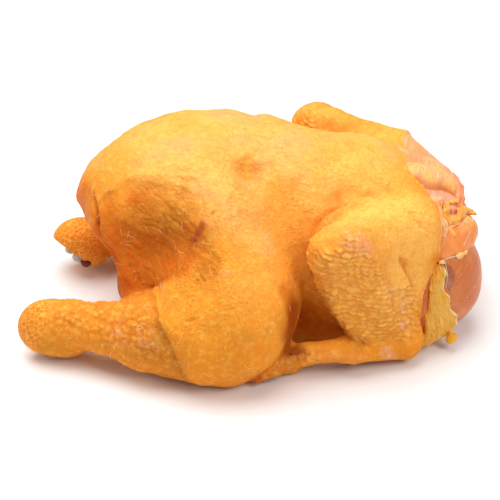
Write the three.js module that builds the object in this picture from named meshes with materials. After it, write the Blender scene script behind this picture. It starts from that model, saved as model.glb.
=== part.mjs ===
// A whole raw chicken, plucked and drawn, with its wings folded and its hocks left on.
//
// It lies on its breast.  +X runs from the tail to the neck end, +Z is up, the midline of the
// bird is y = 0 and its right side is y < 0.  The origin is on the table, under the middle of the
// bird.  Lengths are millimetres and angles are degrees.
//
// The bird is one solid.  Its form is a distance field: muscles are ellipsoids, limbs are tapered
// rods, and all of them melt into each other.  The field is turned into triangles on a fine grid,
// and the triangles are then thinned out where the surface is nearly flat.
import * as THREE from "three";

// ---------------------------------------------------------------- driving dimensions

const SKIN = 3; // thickness of skin and fat at the cut edge by the neck
const LOWEST = [-166, -130, -7]; // corners of the space that holds the bird
const HIGHEST = [170, 130, 149];
const GRID = 3; // spacing of the grid that samples the field
const TRIANGLES = 9800; // triangles left after thinning
const THINNEST = 0.015; // least height of a triangle over its longest edge
const RIM_HOLD = 4; // how firmly the rims of the flat spots are kept by the thinning

const BACK = { at: [40, 0, 70], size: [96, 64, 58], turn: [0, 8, 0] };
const RUMP = { at: [-40, 0, 87], size: [73, 66, 46], turn: [0, -2, 0] };
const BELLY = { at: [-54, 0, 60], size: [38, 42, 46] };
const BREAST = { at: [86, 27, 42], size: [62, 42, 44], turn: [-4, 0, 0] };
const KEEL = { at: [44, 0, 24], size: [66, 10, 20] };
const HIP = { at: [-60, 42, 60], size: [32, 22, 42], turn: [0, 10, 0] };
const VENT = { at: [-104, 0, 48], size: [26, 26, 30] };

// A fold of skin runs from beside the tail, round the vent, to the inside of the thigh.
const REAR_FOLD = [[-88, 24, 104], [-94, 36, 82], [-84, 45, 54], [-66, 50, 34]];
const REAR_FOLD_RADII = [9, 7, 6, 6];
const LEFT_FOLD_FORWARD = 8; // how much further forward the fold lies on the left side

const TAIL = [[-70, 0, 95], [-95, 0, 86], [-105, 0, 80]];
const TAIL_RADII = [22, 14, 10];

// Hollows where the skin sinks between the bones: over the hips, beside the spine, in the flank.
const HOLLOWS = [
  { at: [-6, 36, 110], size: [15, 13, 16], depth: 6 },
  { at: [8, 19, 122], size: [15, 9, 14], depth: 4 },
  { at: [-58, 60, 76], size: [26, 18, 18], depth: 6 },
];

const HIP_JOINT = [-20, 42, 80];
const KNEE = [-8, 78, 44];
const KNEE_BACK = [-28, 84, 34];
const THIGH_RADIUS = 38;
const KNEE_RADIUS = 33;
const CALF_TOP = [-14, 84, 33];
const CALF_RADII = [32, 24.5, 14.5]; // at the top, the middle and the ankle
const HOCK_SIZE = [21, 15, 20];
const RIGHT_LEG = {
  calf: [-66, 80, 27],
  ankle: [-108, 70, 23],
  hock: [-133, 65, 21],
  cut: [-148, 52, 16],
  cutFaces: [-0.72, -0.62, -0.3],
};
const LEFT_LEG = {
  calf: [-62, 72, 27],
  ankle: [-97, 50, 25],
  hock: [-114, 36, 26],
  cut: [-122, 26, 20],
  cutFaces: [-0.62, -0.5, -0.6],
  heel: { at: [-122, 36, 30], size: [12, 11, 8] },
};

const SHOULDER = [100, 40, 82];
const ELBOW = [53, 80, 89];
const WRIST = [99, 69, 15];
const WING_TIP = [9, 97, 6];
const KNUCKLES = [[66, 79, 12], [34, 86, 12]];
const SHOULDER_RADIUS = 25;
const ELBOW_RADIUS = 15;
const FOREARM_FACES = [0.08, 0.85, 0.52]; // the way the flat of the forearm faces
const FOREARM_HALF = 2.5; // half the thickness of the web of skin behind the forearm bones
const FOREARM_ROUND = 6.5; // rounding of its edge
// Outline of the forearm and its web: along the bones from the elbow, then across them.
const FOREARM = [
  [-9, -4], [-9, 3], [0, 12], [26, 19], [60, 23], [80, 15], [88, 2], [84, -5], [60, -16],
  [25, -24], [0, -20],
];
const LEFT_WING = { lift: -2, out: 4, back: 4, shoulderDrop: 4 };
const RIGHT_WING = { lift: 0, out: 0, back: 0, shoulderDrop: 0 };

// The skin ends at an uneven cut round the neck end: [angle round the body, x of the cut].
// The angle is 0 on the right, 90 on the back and 180 on the left, seen from a height of 60.
const CUT_HEIGHT = 60;
const CUT = [
  [-180, 112], [-90, 116], [-30, 110], [-6, 113], [6, 122], [27, 121], [53, 121], [64, 116],
  [80, 103], [126, 103.5], [150, 112], [180, 112],
];

// A loose flap of skin hangs over the right breast muscle.
const FLAP_AT = [122, -59, 35];
const FLAP_ALONG = [0.9, 0.4, 0];
const FLAP_THICK = 3.6;
const FLAP = [
  [-5, 27], [4.5, 31], [0.5, 19], [4.4, 9], [7.7, -4], [13.4, -9], [12, -17], [5.4, -24],
  [-1.3, -26], [-14.4, -29], [-13, -15], [-14, 8.5], [-12, 19],
];
const FAT_DROP = { at: [131, -59, 11], size: [6, 5, 6] };

// Bare meat at the neck end.
const NECK_ROOT = { at: [106, -8, 62], size: [40, 42, 32] };
const FILLET = { at: [94, 30, 40], size: [60, 38, 42], turn: [-7, 0, 0] };
const FILLET_FOOT = { at: [96, 31, 26], size: [55, 36, 30], turn: [-8, 0, 0] };
const LEFT_ROLL = [[100, 36, 86], [127, 30, 80]];
const LEFT_ROLL_RADII = [20, 15];
const MIDDLE_ROLL = [[98, 14, 96], [120, 14, 91], [131, 10, 84]];
const MIDDLE_ROLL_RADII = [15, 12, 10];
const NECK = [[100, -4, 88], [126, -6, 80], [141, -8, 75], [149, -9, 73]];
const NECK_RADII = [20, 12, 5.5, 3.2];

const SKIN_COLOUR = 0xeeb264;

// ---------------------------------------------------------------- fields

const { degToRad } = THREE.MathUtils;
const mirror = (v, side) => [v[0], side * v[1], v[2]];
const shift = (v, by) => [v[0] + by[0], v[1] + by[1], v[2] + by[2]];
const unit = (v) => new THREE.Vector3(...v).normalize().toArray();
const cross = (a, b) => new THREE.Vector3(...a).cross(new THREE.Vector3(...b)).toArray();
const dot = (a, b) => a[0] * b[0] + a[1] * b[1] + a[2] * b[2];

// Distance to an ellipsoid.  turn is its yaw, pitch and roll.
function lump({ at, size, turn = [0, 0, 0] }) {
  const euler = new THREE.Euler(degToRad(turn[2]), degToRad(turn[1]), degToRad(turn[0]), "ZYX");
  const m = new THREE.Matrix4().makeRotationFromEuler(euler).elements;
  return (x, y, z) => {
    const dx = x - at[0];
    const dy = y - at[1];
    const dz = z - at[2];
    const u = (m[0] * dx + m[1] * dy + m[2] * dz) / size[0];
    const v = (m[4] * dx + m[5] * dy + m[6] * dz) / size[1];
    const w = (m[8] * dx + m[9] * dy + m[10] * dz) / size[2];
    const near = Math.hypot(u, v, w);
    const steep = Math.hypot(u / size[0], v / size[1], w / size[2]) + 1e-6;
    return (near * (near - 1)) / steep;
  };
}

// The same ellipsoid on the other side of the midline.
function lumpOn(side, { at, size, turn = [0, 0, 0] }) {
  return lump({ at: mirror(at, side), size, turn: [side * turn[0], turn[1], side * turn[2]] });
}

// Distance to a tapered rod with round ends.
function limb(a, b, radiusA, radiusB) {
  const ax = shift(b, [-a[0], -a[1], -a[2]]);
  const length2 = dot(ax, ax);
  return (x, y, z) => {
    const dx = x - a[0];
    const dy = y - a[1];
    const dz = z - a[2];
    const t = Math.min(1, Math.max(0, (dx * ax[0] + dy * ax[1] + dz * ax[2]) / length2));
    const off = Math.hypot(dx - t * ax[0], dy - t * ax[1], dz - t * ax[2]);
    return off - (radiusA + (radiusB - radiusA) * t);
  };
}

// Union of two distances, with a fillet about as wide as k.
function melt(a, b, k) {
  const h = Math.min(1, Math.max(0, 0.5 + (0.5 * (b - a)) / k));
  return b + (a - b) * h - k * h * (1 - h);
}

// What two distances have in common, with its edge rounded by k.
const trim = (a, b, k) => -melt(-a, -b, k);

const meltAll = (k, first, ...others) => (x, y, z) =>
  others.reduce((d, field) => melt(d, field(x, y, z), k), first(x, y, z));

// Rods end to end along a route.
function chain(route, radii, k) {
  const rods = route.slice(1).map((end, i) => limb(route[i], end, radii[i], radii[i + 1]));
  return meltAll(k, ...rods);
}

// Signed distance to a closed outline in a plane.
function outlineDistance(u, v, outline) {
  let nearest = Infinity;
  let inside = false;
  for (let i = 0, j = outline.length - 1; i < outline.length; j = i, i += 1) {
    const [ui, vi] = outline[i];
    const [uj, vj] = outline[j];
    const eu = uj - ui;
    const ev = vj - vi;
    const t = ((u - ui) * eu + (v - vi) * ev) / (eu * eu + ev * ev);
    const s = Math.min(1, Math.max(0, t));
    nearest = Math.min(nearest, Math.hypot(u - ui - s * eu, v - vi - s * ev));
    if (vi > v !== vj > v && u < ((uj - ui) * (v - vi)) / (vj - vi) + ui) inside = !inside;
  }
  return inside ? -nearest : nearest;
}

// A plate with a given outline, 2 * half thick, with its edges rounded.
function plate(at, along, across, outline, half, round) {
  const through = cross(along, across);
  return (x, y, z) => {
    const q = [x - at[0], y - at[1], z - at[2]];
    const side = outlineDistance(dot(q, along), dot(q, across), outline);
    const face = Math.abs(dot(q, through)) - half;
    const outside = Math.hypot(Math.max(side, 0), Math.max(face, 0));
    return outside + Math.min(Math.max(side, face), 0) - round;
  };
}

// How far a soft hollow pushes the surface in.
function hollow({ at, size, depth }) {
  return (x, y, z) => {
    const u = (x - at[0]) / size[0];
    const v = (y - at[1]) / size[1];
    const w = (z - at[2]) / size[2];
    return depth * Math.exp(-(u * u + v * v + w * w));
  };
}

const onTable = (field) => (x, y, z) => trim(field(x, y, z), -z, 3);

// ---------------------------------------------------------------- the carcass

function makeTorso() {
  const back = lump(BACK);
  const rump = lump(RUMP);
  const belly = lump(BELLY);
  const vent = lump(VENT);
  const keel = lump(KEEL);
  const tail = chain(TAIL, TAIL_RADII, 6);
  const sides = [-1, 1].map((side) => {
    const forward = side > 0 ? LEFT_FOLD_FORWARD : 0;
    const fold = REAR_FOLD.map((v) => shift(mirror(v, side), [forward, 0, 0]));
    return {
      breast: lumpOn(side, BREAST),
      hip: lumpOn(side, HIP),
      fold: chain(fold, REAR_FOLD_RADII, 6),
      hollows: HOLLOWS.map((h) => hollow({ ...h, at: mirror(h.at, side) })),
    };
  });
  return (x, y, z) => {
    let d = melt(back(x, y, z), rump(x, y, z), 24);
    d = melt(d, belly(x, y, z), 18);
    for (const { breast, hip, fold, hollows } of sides) {
      d = melt(d, breast(x, y, z), 16);
      d = melt(d, hip(x, y, z), 12);
      d = melt(d, fold(x, y, z), 9);
      for (const sunk of hollows) d += sunk(x, y, z);
    }
    d = melt(d, keel(x, y, z), 14);
    d = melt(d, tail(x, y, z), 6);
    return trim(d, -vent(x, y, z), 8);
  };
}

// Thigh, drumstick and hock.  The hock ends in a flat cut.
function makeLeg(side, { calf, ankle, hock, cut, cutFaces, heel }) {
  const at = (v) => mirror(v, side);
  const thigh = meltAll(
    8,
    limb(at(HIP_JOINT), at(KNEE), THIGH_RADIUS, THIGH_RADIUS),
    limb(at(KNEE), at(KNEE_BACK), THIGH_RADIUS, KNEE_RADIUS),
  );
  const drumstick = chain([at(CALF_TOP), at(calf), at(ankle)], CALF_RADII, 8);
  const knob = lump({ at: at(hock), size: HOCK_SIZE });
  const spur = heel ? lumpOn(side, heel) : null;
  const faces = unit(at(cutFaces));
  const reach = dot(faces, at(cut));
  return (x, y, z) => {
    let d = melt(thigh(x, y, z), drumstick(x, y, z), 3);
    d = melt(d, knob(x, y, z), 10);
    if (spur) d = melt(d, spur(x, y, z), 6);
    return trim(d, dot(faces, [x, y, z]) - reach, 2);
  };
}

// Upper arm, forearm with its web of skin, and the hand tucked back along the thigh.
function makeWing(side, { lift, out, back, shoulderDrop }) {
  const shoulder = mirror(shift(SHOULDER, [0, 0, -shoulderDrop]), side);
  const elbow = mirror(shift(ELBOW, [-back, out, lift]), side);
  const wrist = mirror(WRIST, side);
  const along = unit(shift(wrist, [-elbow[0], -elbow[1], -elbow[2]]));
  const faces = mirror(FOREARM_FACES, side);
  const lean = dot(faces, along);
  const through = unit(shift(faces, along.map((c) => -lean * c)));
  const turned = cross(along, through);
  const across = turned[0] > 0 ? turned.map((c) => -c) : turned;
  const onForearm = (a, b, c) =>
    elbow.map((e, i) => e + a * along[i] + b * across[i] + c * through[i]);

  const arm = limb(shoulder, elbow, SHOULDER_RADIUS, ELBOW_RADIUS);
  const bones = limb(onForearm(0, -4, 0), onForearm(80, -2, 0), 14, 12);
  const web = plate(onForearm(0, 0, -2), along, across, FOREARM, FOREARM_HALF, FOREARM_ROUND);
  const [first, second] = KNUCKLES.map((v) => mirror(v, side));
  const palm = limb(wrist, first, 13, 10);
  const finger = limb(first, second, 10, 9);
  const tip = limb(second, mirror(WING_TIP, side), 9, 4);
  return (x, y, z) => {
    let d = melt(arm(x, y, z), bones(x, y, z), 6);
    d = melt(d, web(x, y, z), 7);
    d = melt(d, palm(x, y, z), 4);
    d = melt(d, finger(x, y, z), 6);
    return melt(d, tip(x, y, z), 5);
  };
}

function makeFlesh(torso) {
  const neckRoot = lump(NECK_ROOT);
  const fillets = [-1, 1].flatMap((side) => [lumpOn(side, FILLET), lumpOn(side, FILLET_FOOT)]);
  const leftRoll = chain(LEFT_ROLL, LEFT_ROLL_RADII, 6);
  const middleRoll = chain(MIDDLE_ROLL, MIDDLE_ROLL_RADII, 6);
  const neck = chain(NECK, NECK_RADII, 4);
  return onTable((x, y, z) => {
    let d = melt(torso(x, y, z) + SKIN, neckRoot(x, y, z), 10);
    for (const fillet of fillets) d = melt(d, fillet(x, y, z), 8);
    d = melt(d, leftRoll(x, y, z), 7);
    d = melt(d, middleRoll(x, y, z), 4);
    return melt(d, neck(x, y, z), 6);
  });
}

// x at which the skin ends, for a point seen from the middle of the neck end.
function cutAt(y, z) {
  const angle = THREE.MathUtils.radToDeg(Math.atan2(z - CUT_HEIGHT, -y));
  const next = Math.max(1, CUT.findIndex(([a]) => a >= angle));
  const [a0, x0] = CUT[next - 1];
  const [a1, x1] = CUT[next];
  return x0 + ((x1 - x0) * (angle - a0)) / (a1 - a0);
}

// The flap follows the breast muscle under it.
function makeFlap(flesh) {
  const along = unit(FLAP_ALONG);
  return (x, y, z) => {
    const q = [x - FLAP_AT[0], y - FLAP_AT[1], z - FLAP_AT[2]];
    const edge = outlineDistance(dot(q, along), q[2], FLAP);
    const sheet = trim(flesh(x, y, z) - FLAP_THICK, edge, 1.5);
    return Math.max(sheet, y + 20);
  };
}

function makeSkin(torso, flesh) {
  const rightLeg = makeLeg(-1, RIGHT_LEG);
  const leftLeg = makeLeg(1, LEFT_LEG);
  const rightWing = makeWing(-1, RIGHT_WING);
  const leftWing = makeWing(1, LEFT_WING);
  const flap = makeFlap(flesh);
  const drop = lump(FAT_DROP);
  return onTable((x, y, z) => {
    let d = melt(torso(x, y, z), rightLeg(x, y, z), 11);
    d = melt(d, leftLeg(x, y, z), 11);
    d = melt(d, Math.min(rightWing(x, y, z), leftWing(x, y, z)), 6);
    d = trim(d, x - cutAt(y, z), 1.5);
    if (x > 90 && y < 0 && z < 90) {
      d = melt(d, flap(x, y, z), 2);
      d = melt(d, drop(x, y, z), 3);
    }
    return d;
  });
}

// ---------------------------------------------------------------- field to triangles

// A cube of the grid is cut into six tetrahedra round its long diagonal.  A corner is numbered by
// its bits: 1 is a step along x, 2 along y and 4 along z.
const TETRAHEDRA = [
  { corners: [0, 1, 3, 7], turned: false },
  { corners: [0, 2, 6, 7], turned: false },
  { corners: [0, 4, 5, 7], turned: false },
  { corners: [0, 1, 5, 7], turned: true },
  { corners: [0, 2, 3, 7], turned: true },
  { corners: [0, 4, 6, 7], turned: true },
];
// Corners of a tetrahedron in an order that keeps its handedness, those inside the bird first.
const ONE_INSIDE = { 1: [0, 1, 2, 3], 2: [1, 0, 3, 2], 4: [2, 3, 0, 1], 8: [3, 2, 1, 0] };
const TWO_INSIDE = {
  3: [0, 1, 2, 3], 5: [0, 2, 3, 1], 9: [0, 3, 1, 2],
  6: [1, 2, 0, 3], 10: [1, 3, 2, 0], 12: [2, 3, 0, 1],
};

function sampleField(field) {
  const count = LOWEST.map((low, i) => Math.ceil((HIGHEST[i] - low) / GRID) + 1);
  const values = new Float64Array(count[0] * count[1] * count[2]);
  const shortest = 0.02 * GRID; // keeps the surface off the grid points
  let n = 0;
  for (let k = 0; k < count[2]; k += 1) {
    for (let j = 0; j < count[1]; j += 1) {
      for (let i = 0; i < count[0]; i += 1) {
        const point = [LOWEST[0] + i * GRID, LOWEST[1] + j * GRID, LOWEST[2] + k * GRID];
        const d = field(...point);
        values[n] = Math.abs(d) < shortest ? Math.sign(d || 1) * shortest : d;
        n += 1;
      }
    }
  }
  return { count, values };
}

function polygonise(field) {
  const { count, values } = sampleField(field);
  const row = count[0];
  const layer = count[0] * count[1];
  const offset = [0, 1, row, row + 1, layer, layer + 1, layer + row, layer + row + 1];
  const points = [];
  const triangles = [];
  const known = new Map();

  const place = (n) => [
    LOWEST[0] + (n % row) * GRID,
    LOWEST[1] + (Math.floor(n / row) % count[1]) * GRID,
    LOWEST[2] + Math.floor(n / layer) * GRID,
  ];
  // The point where the surface crosses the edge between corners a and b of the cube at n.
  const crossing = (n, a, b) => {
    const low = Math.min(a, b);
    const high = Math.max(a, b);
    const start = n + offset[low];
    const end = n + offset[high];
    const key = start * 8 + (high - low);
    if (!known.has(key)) {
      const t = values[start] / (values[start] - values[end]);
      const p = place(start);
      const q = place(end);
      known.set(key, points.length);
      points.push(p.map((c, i) => c + t * (q[i] - c)));
    }
    return known.get(key);
  };
  const add = (a, b, c, turned) => triangles.push(turned ? [a, c, b] : [a, b, c]);

  const last = values.length - layer - row - 1;
  for (let n = 0; n < last; n += 1) {
    if (n % row === row - 1 || Math.floor(n / row) % count[1] === count[1] - 1) continue;
    const inside = offset.map((step) => values[n + step] < 0);
    if (inside.every((v) => v === inside[0])) continue;
    for (const { corners, turned } of TETRAHEDRA) {
      const mask = corners.reduce((bits, corner, i) => bits | (inside[corner] ? 1 << i : 0), 0);
      if (mask === 0 || mask === 15) continue;
      const edge = (from, to) => crossing(n, corners[from], corners[to]);
      if (TWO_INSIDE[mask]) {
        const [a, b, c, d] = TWO_INSIDE[mask];
        add(edge(a, c), edge(a, d), edge(b, d), turned);
        add(edge(a, c), edge(b, d), edge(b, c), turned);
      } else {
        const [a, b, c, d] = ONE_INSIDE[mask] ?? ONE_INSIDE[15 - mask];
        add(edge(a, b), edge(a, c), edge(a, d), turned !== !ONE_INSIDE[mask]);
      }
    }
  }
  return { points, triangles };
}

// ---------------------------------------------------------------- fewer triangles

// A heap that gives back the cheapest entry first.
class Cheapest {
  entries = [];

  push(entry) {
    const heap = this.entries;
    let n = heap.push(entry) - 1;
    while (n > 0) {
      const parent = (n - 1) >> 1;
      if (heap[parent].cost <= heap[n].cost) break;
      [heap[parent], heap[n]] = [heap[n], heap[parent]];
      n = parent;
    }
  }

  pop() {
    const heap = this.entries;
    const top = heap[0];
    const moved = heap.pop();
    if (heap.length === 0) return top;
    heap[0] = moved;
    let n = 0;
    for (;;) {
      const left = 2 * n + 1;
      const right = left + 1;
      let best = n;
      if (left < heap.length && heap[left].cost < heap[best].cost) best = left;
      if (right < heap.length && heap[right].cost < heap[best].cost) best = right;
      if (best === n) return top;
      [heap[best], heap[n]] = [heap[n], heap[best]];
      n = best;
    }
  }
}

const minus = (a, b) => [a[0] - b[0], a[1] - b[1], a[2] - b[2]];
const normalOf = (a, b, c) => cross(minus(b, a), minus(c, a));

// Height of a triangle over its longest edge.
function height([a, b, c]) {
  const edges = [minus(b, a), minus(c, b), minus(a, c)];
  const longest2 = Math.max(...edges.map((e) => dot(e, e)));
  return Math.hypot(...normalOf(a, b, c)) / longest2;
}

// The ten numbers of the squared distance to a triangle's plane, weighted by its area.
function planeQuadric(a, b, c) {
  const n = normalOf(a, b, c);
  const size = Math.hypot(...n);
  if (size === 0) return new Array(10).fill(0);
  const [x, y, z] = n.map((v) => v / size);
  const w = -dot([x, y, z], a);
  const q = [x * x, x * y, x * z, x * w, y * y, y * z, y * w, z * z, z * w, w * w];
  return q.map((v) => v * size);
}

function quadricCost(q, [x, y, z]) {
  return (
    q[0] * x * x + 2 * q[1] * x * y + 2 * q[2] * x * z + 2 * q[3] * x +
    q[4] * y * y + 2 * q[5] * y * z + 2 * q[6] * y + q[7] * z * z + 2 * q[8] * z + q[9]
  );
}

// The point with the least cost, or null where the planes don't fix one.
function quadricLowest(q) {
  const [a, b, c, d, e, f, g, h, i] = q;
  const c0 = e * h - f * f;
  const c1 = c * f - b * h;
  const c2 = b * f - c * e;
  const det = a * c0 + b * c1 + c * c2;
  const scale = a + e + h;
  if (Math.abs(det) < 1e-5 * scale ** 3) return null;
  return [
    -(c0 * d + c1 * g + c2 * i) / det,
    -(c1 * d + (a * h - c * c) * g + (b * c - a * f) * i) / det,
    -(c2 * d + (b * c - a * f) * g + (a * e - b * b) * i) / det,
  ];
}

// Closes up edge after edge, the least noticeable first, and keeps the surface closed.
function thinOut({ points, triangles }, target) {
  const quadrics = points.map(() => new Array(10).fill(0));
  const around = points.map(() => []);
  const age = new Int32Array(points.length);
  const alive = new Uint8Array(triangles.length).fill(1);
  const onFloor = points.map((p) => Math.abs(p[2]) < 1e-6);
  let left = triangles.length;

  triangles.forEach((corners, n) => {
    const q = planeQuadric(...corners.map((v) => points[v]));
    for (const v of corners) {
      around[v].push(n);
      for (let i = 0; i < 10; i += 1) quadrics[v][i] += q[i];
    }
    // The rim of a flat spot on the table holds its place.
    const rim = corners.filter((v) => onFloor[v]);
    if (rim.length !== 2) return;
    const [p, r] = rim.map((v) => points[v]);
    const upright = planeQuadric(p, r, [p[0], p[1], Math.hypot(...minus(r, p))]);
    for (const v of rim) {
      for (let i = 0; i < 10; i += 1) quadrics[v][i] += RIM_HOLD * upright[i];
    }
  });

  const neighbours = (v) => {
    const found = new Set();
    for (const n of around[v]) for (const w of triangles[n]) if (w !== v) found.add(w);
    return found;
  };
  // Where the two ends of an edge go when it closes.  Points on the table stay on it.
  const meeting = (q, a, b) => {
    if (onFloor[a] !== onFloor[b]) return onFloor[a] ? points[a] : points[b];
    const middle = points[a].map((c, i) => (c + points[b][i]) / 2);
    const lowest = quadricLowest(q);
    const length = Math.hypot(...minus(points[a], points[b]));
    let best = middle;
    for (const p of [points[a], points[b], lowest]) {
      if (!p || Math.hypot(...minus(p, middle)) > length) continue;
      if (quadricCost(q, p) < quadricCost(q, best)) best = p;
    }
    return onFloor[a] ? [best[0], best[1], 0] : best;
  };
  const queue = new Cheapest();
  const offer = (a, b) => {
    const q = quadrics[a].map((v, i) => v + quadrics[b][i]);
    const to = meeting(q, a, b);
    const stretch = Math.hypot(...minus(points[a], points[b])) ** 2;
    const cost = quadricCost(q, to) + 1e-3 * stretch;
    queue.push({ cost, a, b, to, ages: age[a] + age[b] });
  };
  // True if moving v to a new place turns none of its triangles over and makes none a sliver.
  const staysFlat = (v, other, to) =>
    around[v].every((n) => {
      const corners = triangles[n];
      if (corners.includes(other)) return true;
      const before = corners.map((w) => points[w]);
      const after = corners.map((w) => (w === v ? to : points[w]));
      const facing = dot(unit(normalOf(...before)), unit(normalOf(...after)));
      return facing > 0.25 && height(after) > Math.min(THINNEST, height(before));
    });

  points.forEach((_, v) => {
    for (const w of neighbours(v)) if (w > v) offer(v, w);
  });
  while (left > target && queue.entries.length > 0) {
    const { a, b, to, ages } = queue.pop();
    if (around[a].length === 0 || around[b].length === 0 || age[a] + age[b] !== ages) continue;
    const besideB = neighbours(b);
    const shared = [...neighbours(a)].filter((v) => besideB.has(v));
    if (shared.length !== 2 || !staysFlat(a, b, to) || !staysFlat(b, a, to)) continue;
    points[a] = to;
    for (let i = 0; i < 10; i += 1) quadrics[a][i] += quadrics[b][i];
    for (const n of around[b]) {
      if (triangles[n].includes(a)) {
        alive[n] = 0;
        left -= 1;
      } else {
        triangles[n] = triangles[n].map((v) => (v === b ? a : v));
        around[a].push(n);
      }
    }
    around[b] = [];
    around[a] = around[a].filter((n) => alive[n]);
    for (const v of shared) around[v] = around[v].filter((n) => alive[n]);
    onFloor[a] = onFloor[a] || onFloor[b];
    age[a] += 1;
    for (const v of neighbours(a)) offer(a, v);
  }
  return { points, triangles: triangles.filter((_, n) => alive[n]) };
}

// ---------------------------------------------------------------- the part

function makeGeometry({ points, triangles }) {
  const used = new Map();
  const positions = [];
  const index = triangles.flat().map((v) => {
    if (!used.has(v)) {
      used.set(v, used.size);
      positions.push(...points[v]);
    }
    return used.get(v);
  });
  const geometry = new THREE.BufferGeometry();
  geometry.setAttribute("position", new THREE.Float32BufferAttribute(positions, 3));
  geometry.setIndex(index);
  geometry.computeBoundingBox();
  const { min, max } = geometry.boundingBox;
  geometry.translate(-(min.x + max.x) / 2, -(min.y + max.y) / 2, -min.z);
  geometry.computeVertexNormals();
  return geometry;
}

const torso = makeTorso();
const flesh = makeFlesh(torso);
const skin = makeSkin(torso, flesh);
const whole = (x, y, z) => Math.min(skin(x, y, z), flesh(x, y, z));

const chicken = new THREE.Mesh(
  makeGeometry(thinOut(polygonise(whole), TRIANGLES)),
  new THREE.MeshStandardMaterial({ color: SKIN_COLOUR, roughness: 0.42, metalness: 0 }),
);
chicken.name = "chicken";

const bird = new THREE.Group();
bird.add(chicken);

export default bird;
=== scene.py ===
# %% [markdown]
# # A whole raw chicken
#
# A plucked and drawn yellow hen lies on its breast, with its wings folded, its hocks left on and
# bare meat at the neck end.  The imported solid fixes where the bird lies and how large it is.
# This lesson gives the same form a fine surface: pebbled skin, folds, scales on the hocks, rows
# of feather follicles on the wings, and wet meat, fat and films at the neck.  It goes from the
# large forms to the mesh, then to the small parts, the finishes, the light and the camera.

# %% Load the frame
import math

import bpy
import numpy as np
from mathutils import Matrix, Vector


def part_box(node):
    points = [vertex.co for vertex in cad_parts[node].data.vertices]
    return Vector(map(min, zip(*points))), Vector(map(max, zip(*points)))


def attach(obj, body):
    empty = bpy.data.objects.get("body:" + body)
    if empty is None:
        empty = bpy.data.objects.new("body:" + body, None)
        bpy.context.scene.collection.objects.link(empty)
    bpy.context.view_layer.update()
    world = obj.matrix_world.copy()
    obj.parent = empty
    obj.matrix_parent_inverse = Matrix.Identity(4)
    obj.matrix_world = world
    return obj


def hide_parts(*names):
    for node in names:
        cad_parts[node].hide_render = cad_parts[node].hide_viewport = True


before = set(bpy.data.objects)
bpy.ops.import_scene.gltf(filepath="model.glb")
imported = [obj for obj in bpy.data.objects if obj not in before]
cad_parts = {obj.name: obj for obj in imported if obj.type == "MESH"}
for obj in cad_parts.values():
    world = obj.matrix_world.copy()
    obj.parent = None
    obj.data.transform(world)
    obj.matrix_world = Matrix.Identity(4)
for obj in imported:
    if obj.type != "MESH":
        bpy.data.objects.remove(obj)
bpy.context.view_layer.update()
MM = 0.001
RIGHT, LEFT = -1, 1
FINE = 1.0
low, high = (np.array(corner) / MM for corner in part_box("chicken"))
MIDDLE = np.array([(low[0] + high[0]) / 2, (low[1] + high[1]) / 2, low[2]])
print("the solid is", np.round(high - low, 1), "mm, centred on", np.round(MIDDLE, 1))

# %% [markdown]
# ## Forms that melt into each other
#
# Muscle under skin has no hard joints.  The bird could be sculpted by hand, but then no size in
# it would have a name.  So each form is a distance: how far a point lies outside an ellipsoid, a
# tapered rod or a plate.  Two distances are melted together with a fillet, and the surface is
# where the result is zero.  The sizes are millimetres.  Most are those of the solid; some at the
# legs, hands and neck are moved a little, and what only this model has is named where it comes.


# %% Distance helpers
def vec(*numbers):
    return np.array(numbers, np.float32)


def length(v):
    return np.sqrt(np.einsum("...i,...i->...", v, v))


def unit(v):
    return v / length(v)


def mirror(v, side):
    return vec(v[0], side * v[1], v[2])


def turned(yaw, pitch, roll):
    (cy, cp, cr), (sy, sp, sr) = (
        [f(math.radians(a)) for a in (yaw, pitch, roll)] for f in (math.cos, math.sin)
    )
    about_z = vec(cy, -sy, 0, sy, cy, 0, 0, 0, 1).reshape(3, 3)
    about_y = vec(cp, 0, sp, 0, 1, 0, -sp, 0, cp).reshape(3, 3)
    about_x = vec(1, 0, 0, 0, cr, -sr, 0, sr, cr).reshape(3, 3)
    return about_z @ about_y @ about_x


def lump(p, at, size, turn=(0, 0, 0), side=1):
    """Distance to an ellipsoid, mirrored to the other side of the midline when side is -1."""
    yaw, pitch, roll = turn
    q = (p - mirror(at, side)) @ turned(side * yaw, pitch, side * roll)
    near = length(q / vec(*size))
    steep = length(q / vec(*size) ** 2) + 1e-6
    return near * (near - 1) / steep


def limb(p, a, b, radius_a, radius_b):
    """Distance to a tapered rod with round ends."""
    a, b = vec(*a), vec(*b)
    t = np.clip((p - a) @ (b - a) / ((b - a) @ (b - a)), 0, 1)
    return length(p - a - t[:, None] * (b - a)) - (radius_a + (radius_b - radius_a) * t)


def melt(a, b, k):
    h = np.clip(0.5 + 0.5 * (b - a) / k, 0, 1)
    return b + (a - b) * h - k * h * (1 - h)


def trim(a, b, k):
    return -melt(-a, -b, k)


def chain(p, route, radii, k):
    """Rods end to end."""
    d = limb(p, route[0], route[1], radii[0], radii[1])
    for i in range(1, len(route) - 1):
        d = melt(d, limb(p, route[i], route[i + 1], radii[i], radii[i + 1]), k)
    return d


def outline_distance(u, v, outline):
    """Signed distance to a closed outline in a plane."""
    nearest = np.full(u.shape, 1e9, np.float32)
    inside = np.zeros(u.shape, bool)
    for (ui, vi), (uj, vj) in zip(outline, outline[-1:] + outline[:-1]):
        eu, ev = uj - ui, vj - vi
        t = np.clip(((u - ui) * eu + (v - vi) * ev) / (eu * eu + ev * ev), 0, 1)
        nearest = np.minimum(nearest, np.hypot(u - ui - t * eu, v - vi - t * ev))
        if vi != vj:
            inside ^= ((vi > v) != (vj > v)) & (u < eu * (v - vi) / ev + ui)
    return np.where(inside, -nearest, nearest)


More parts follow.
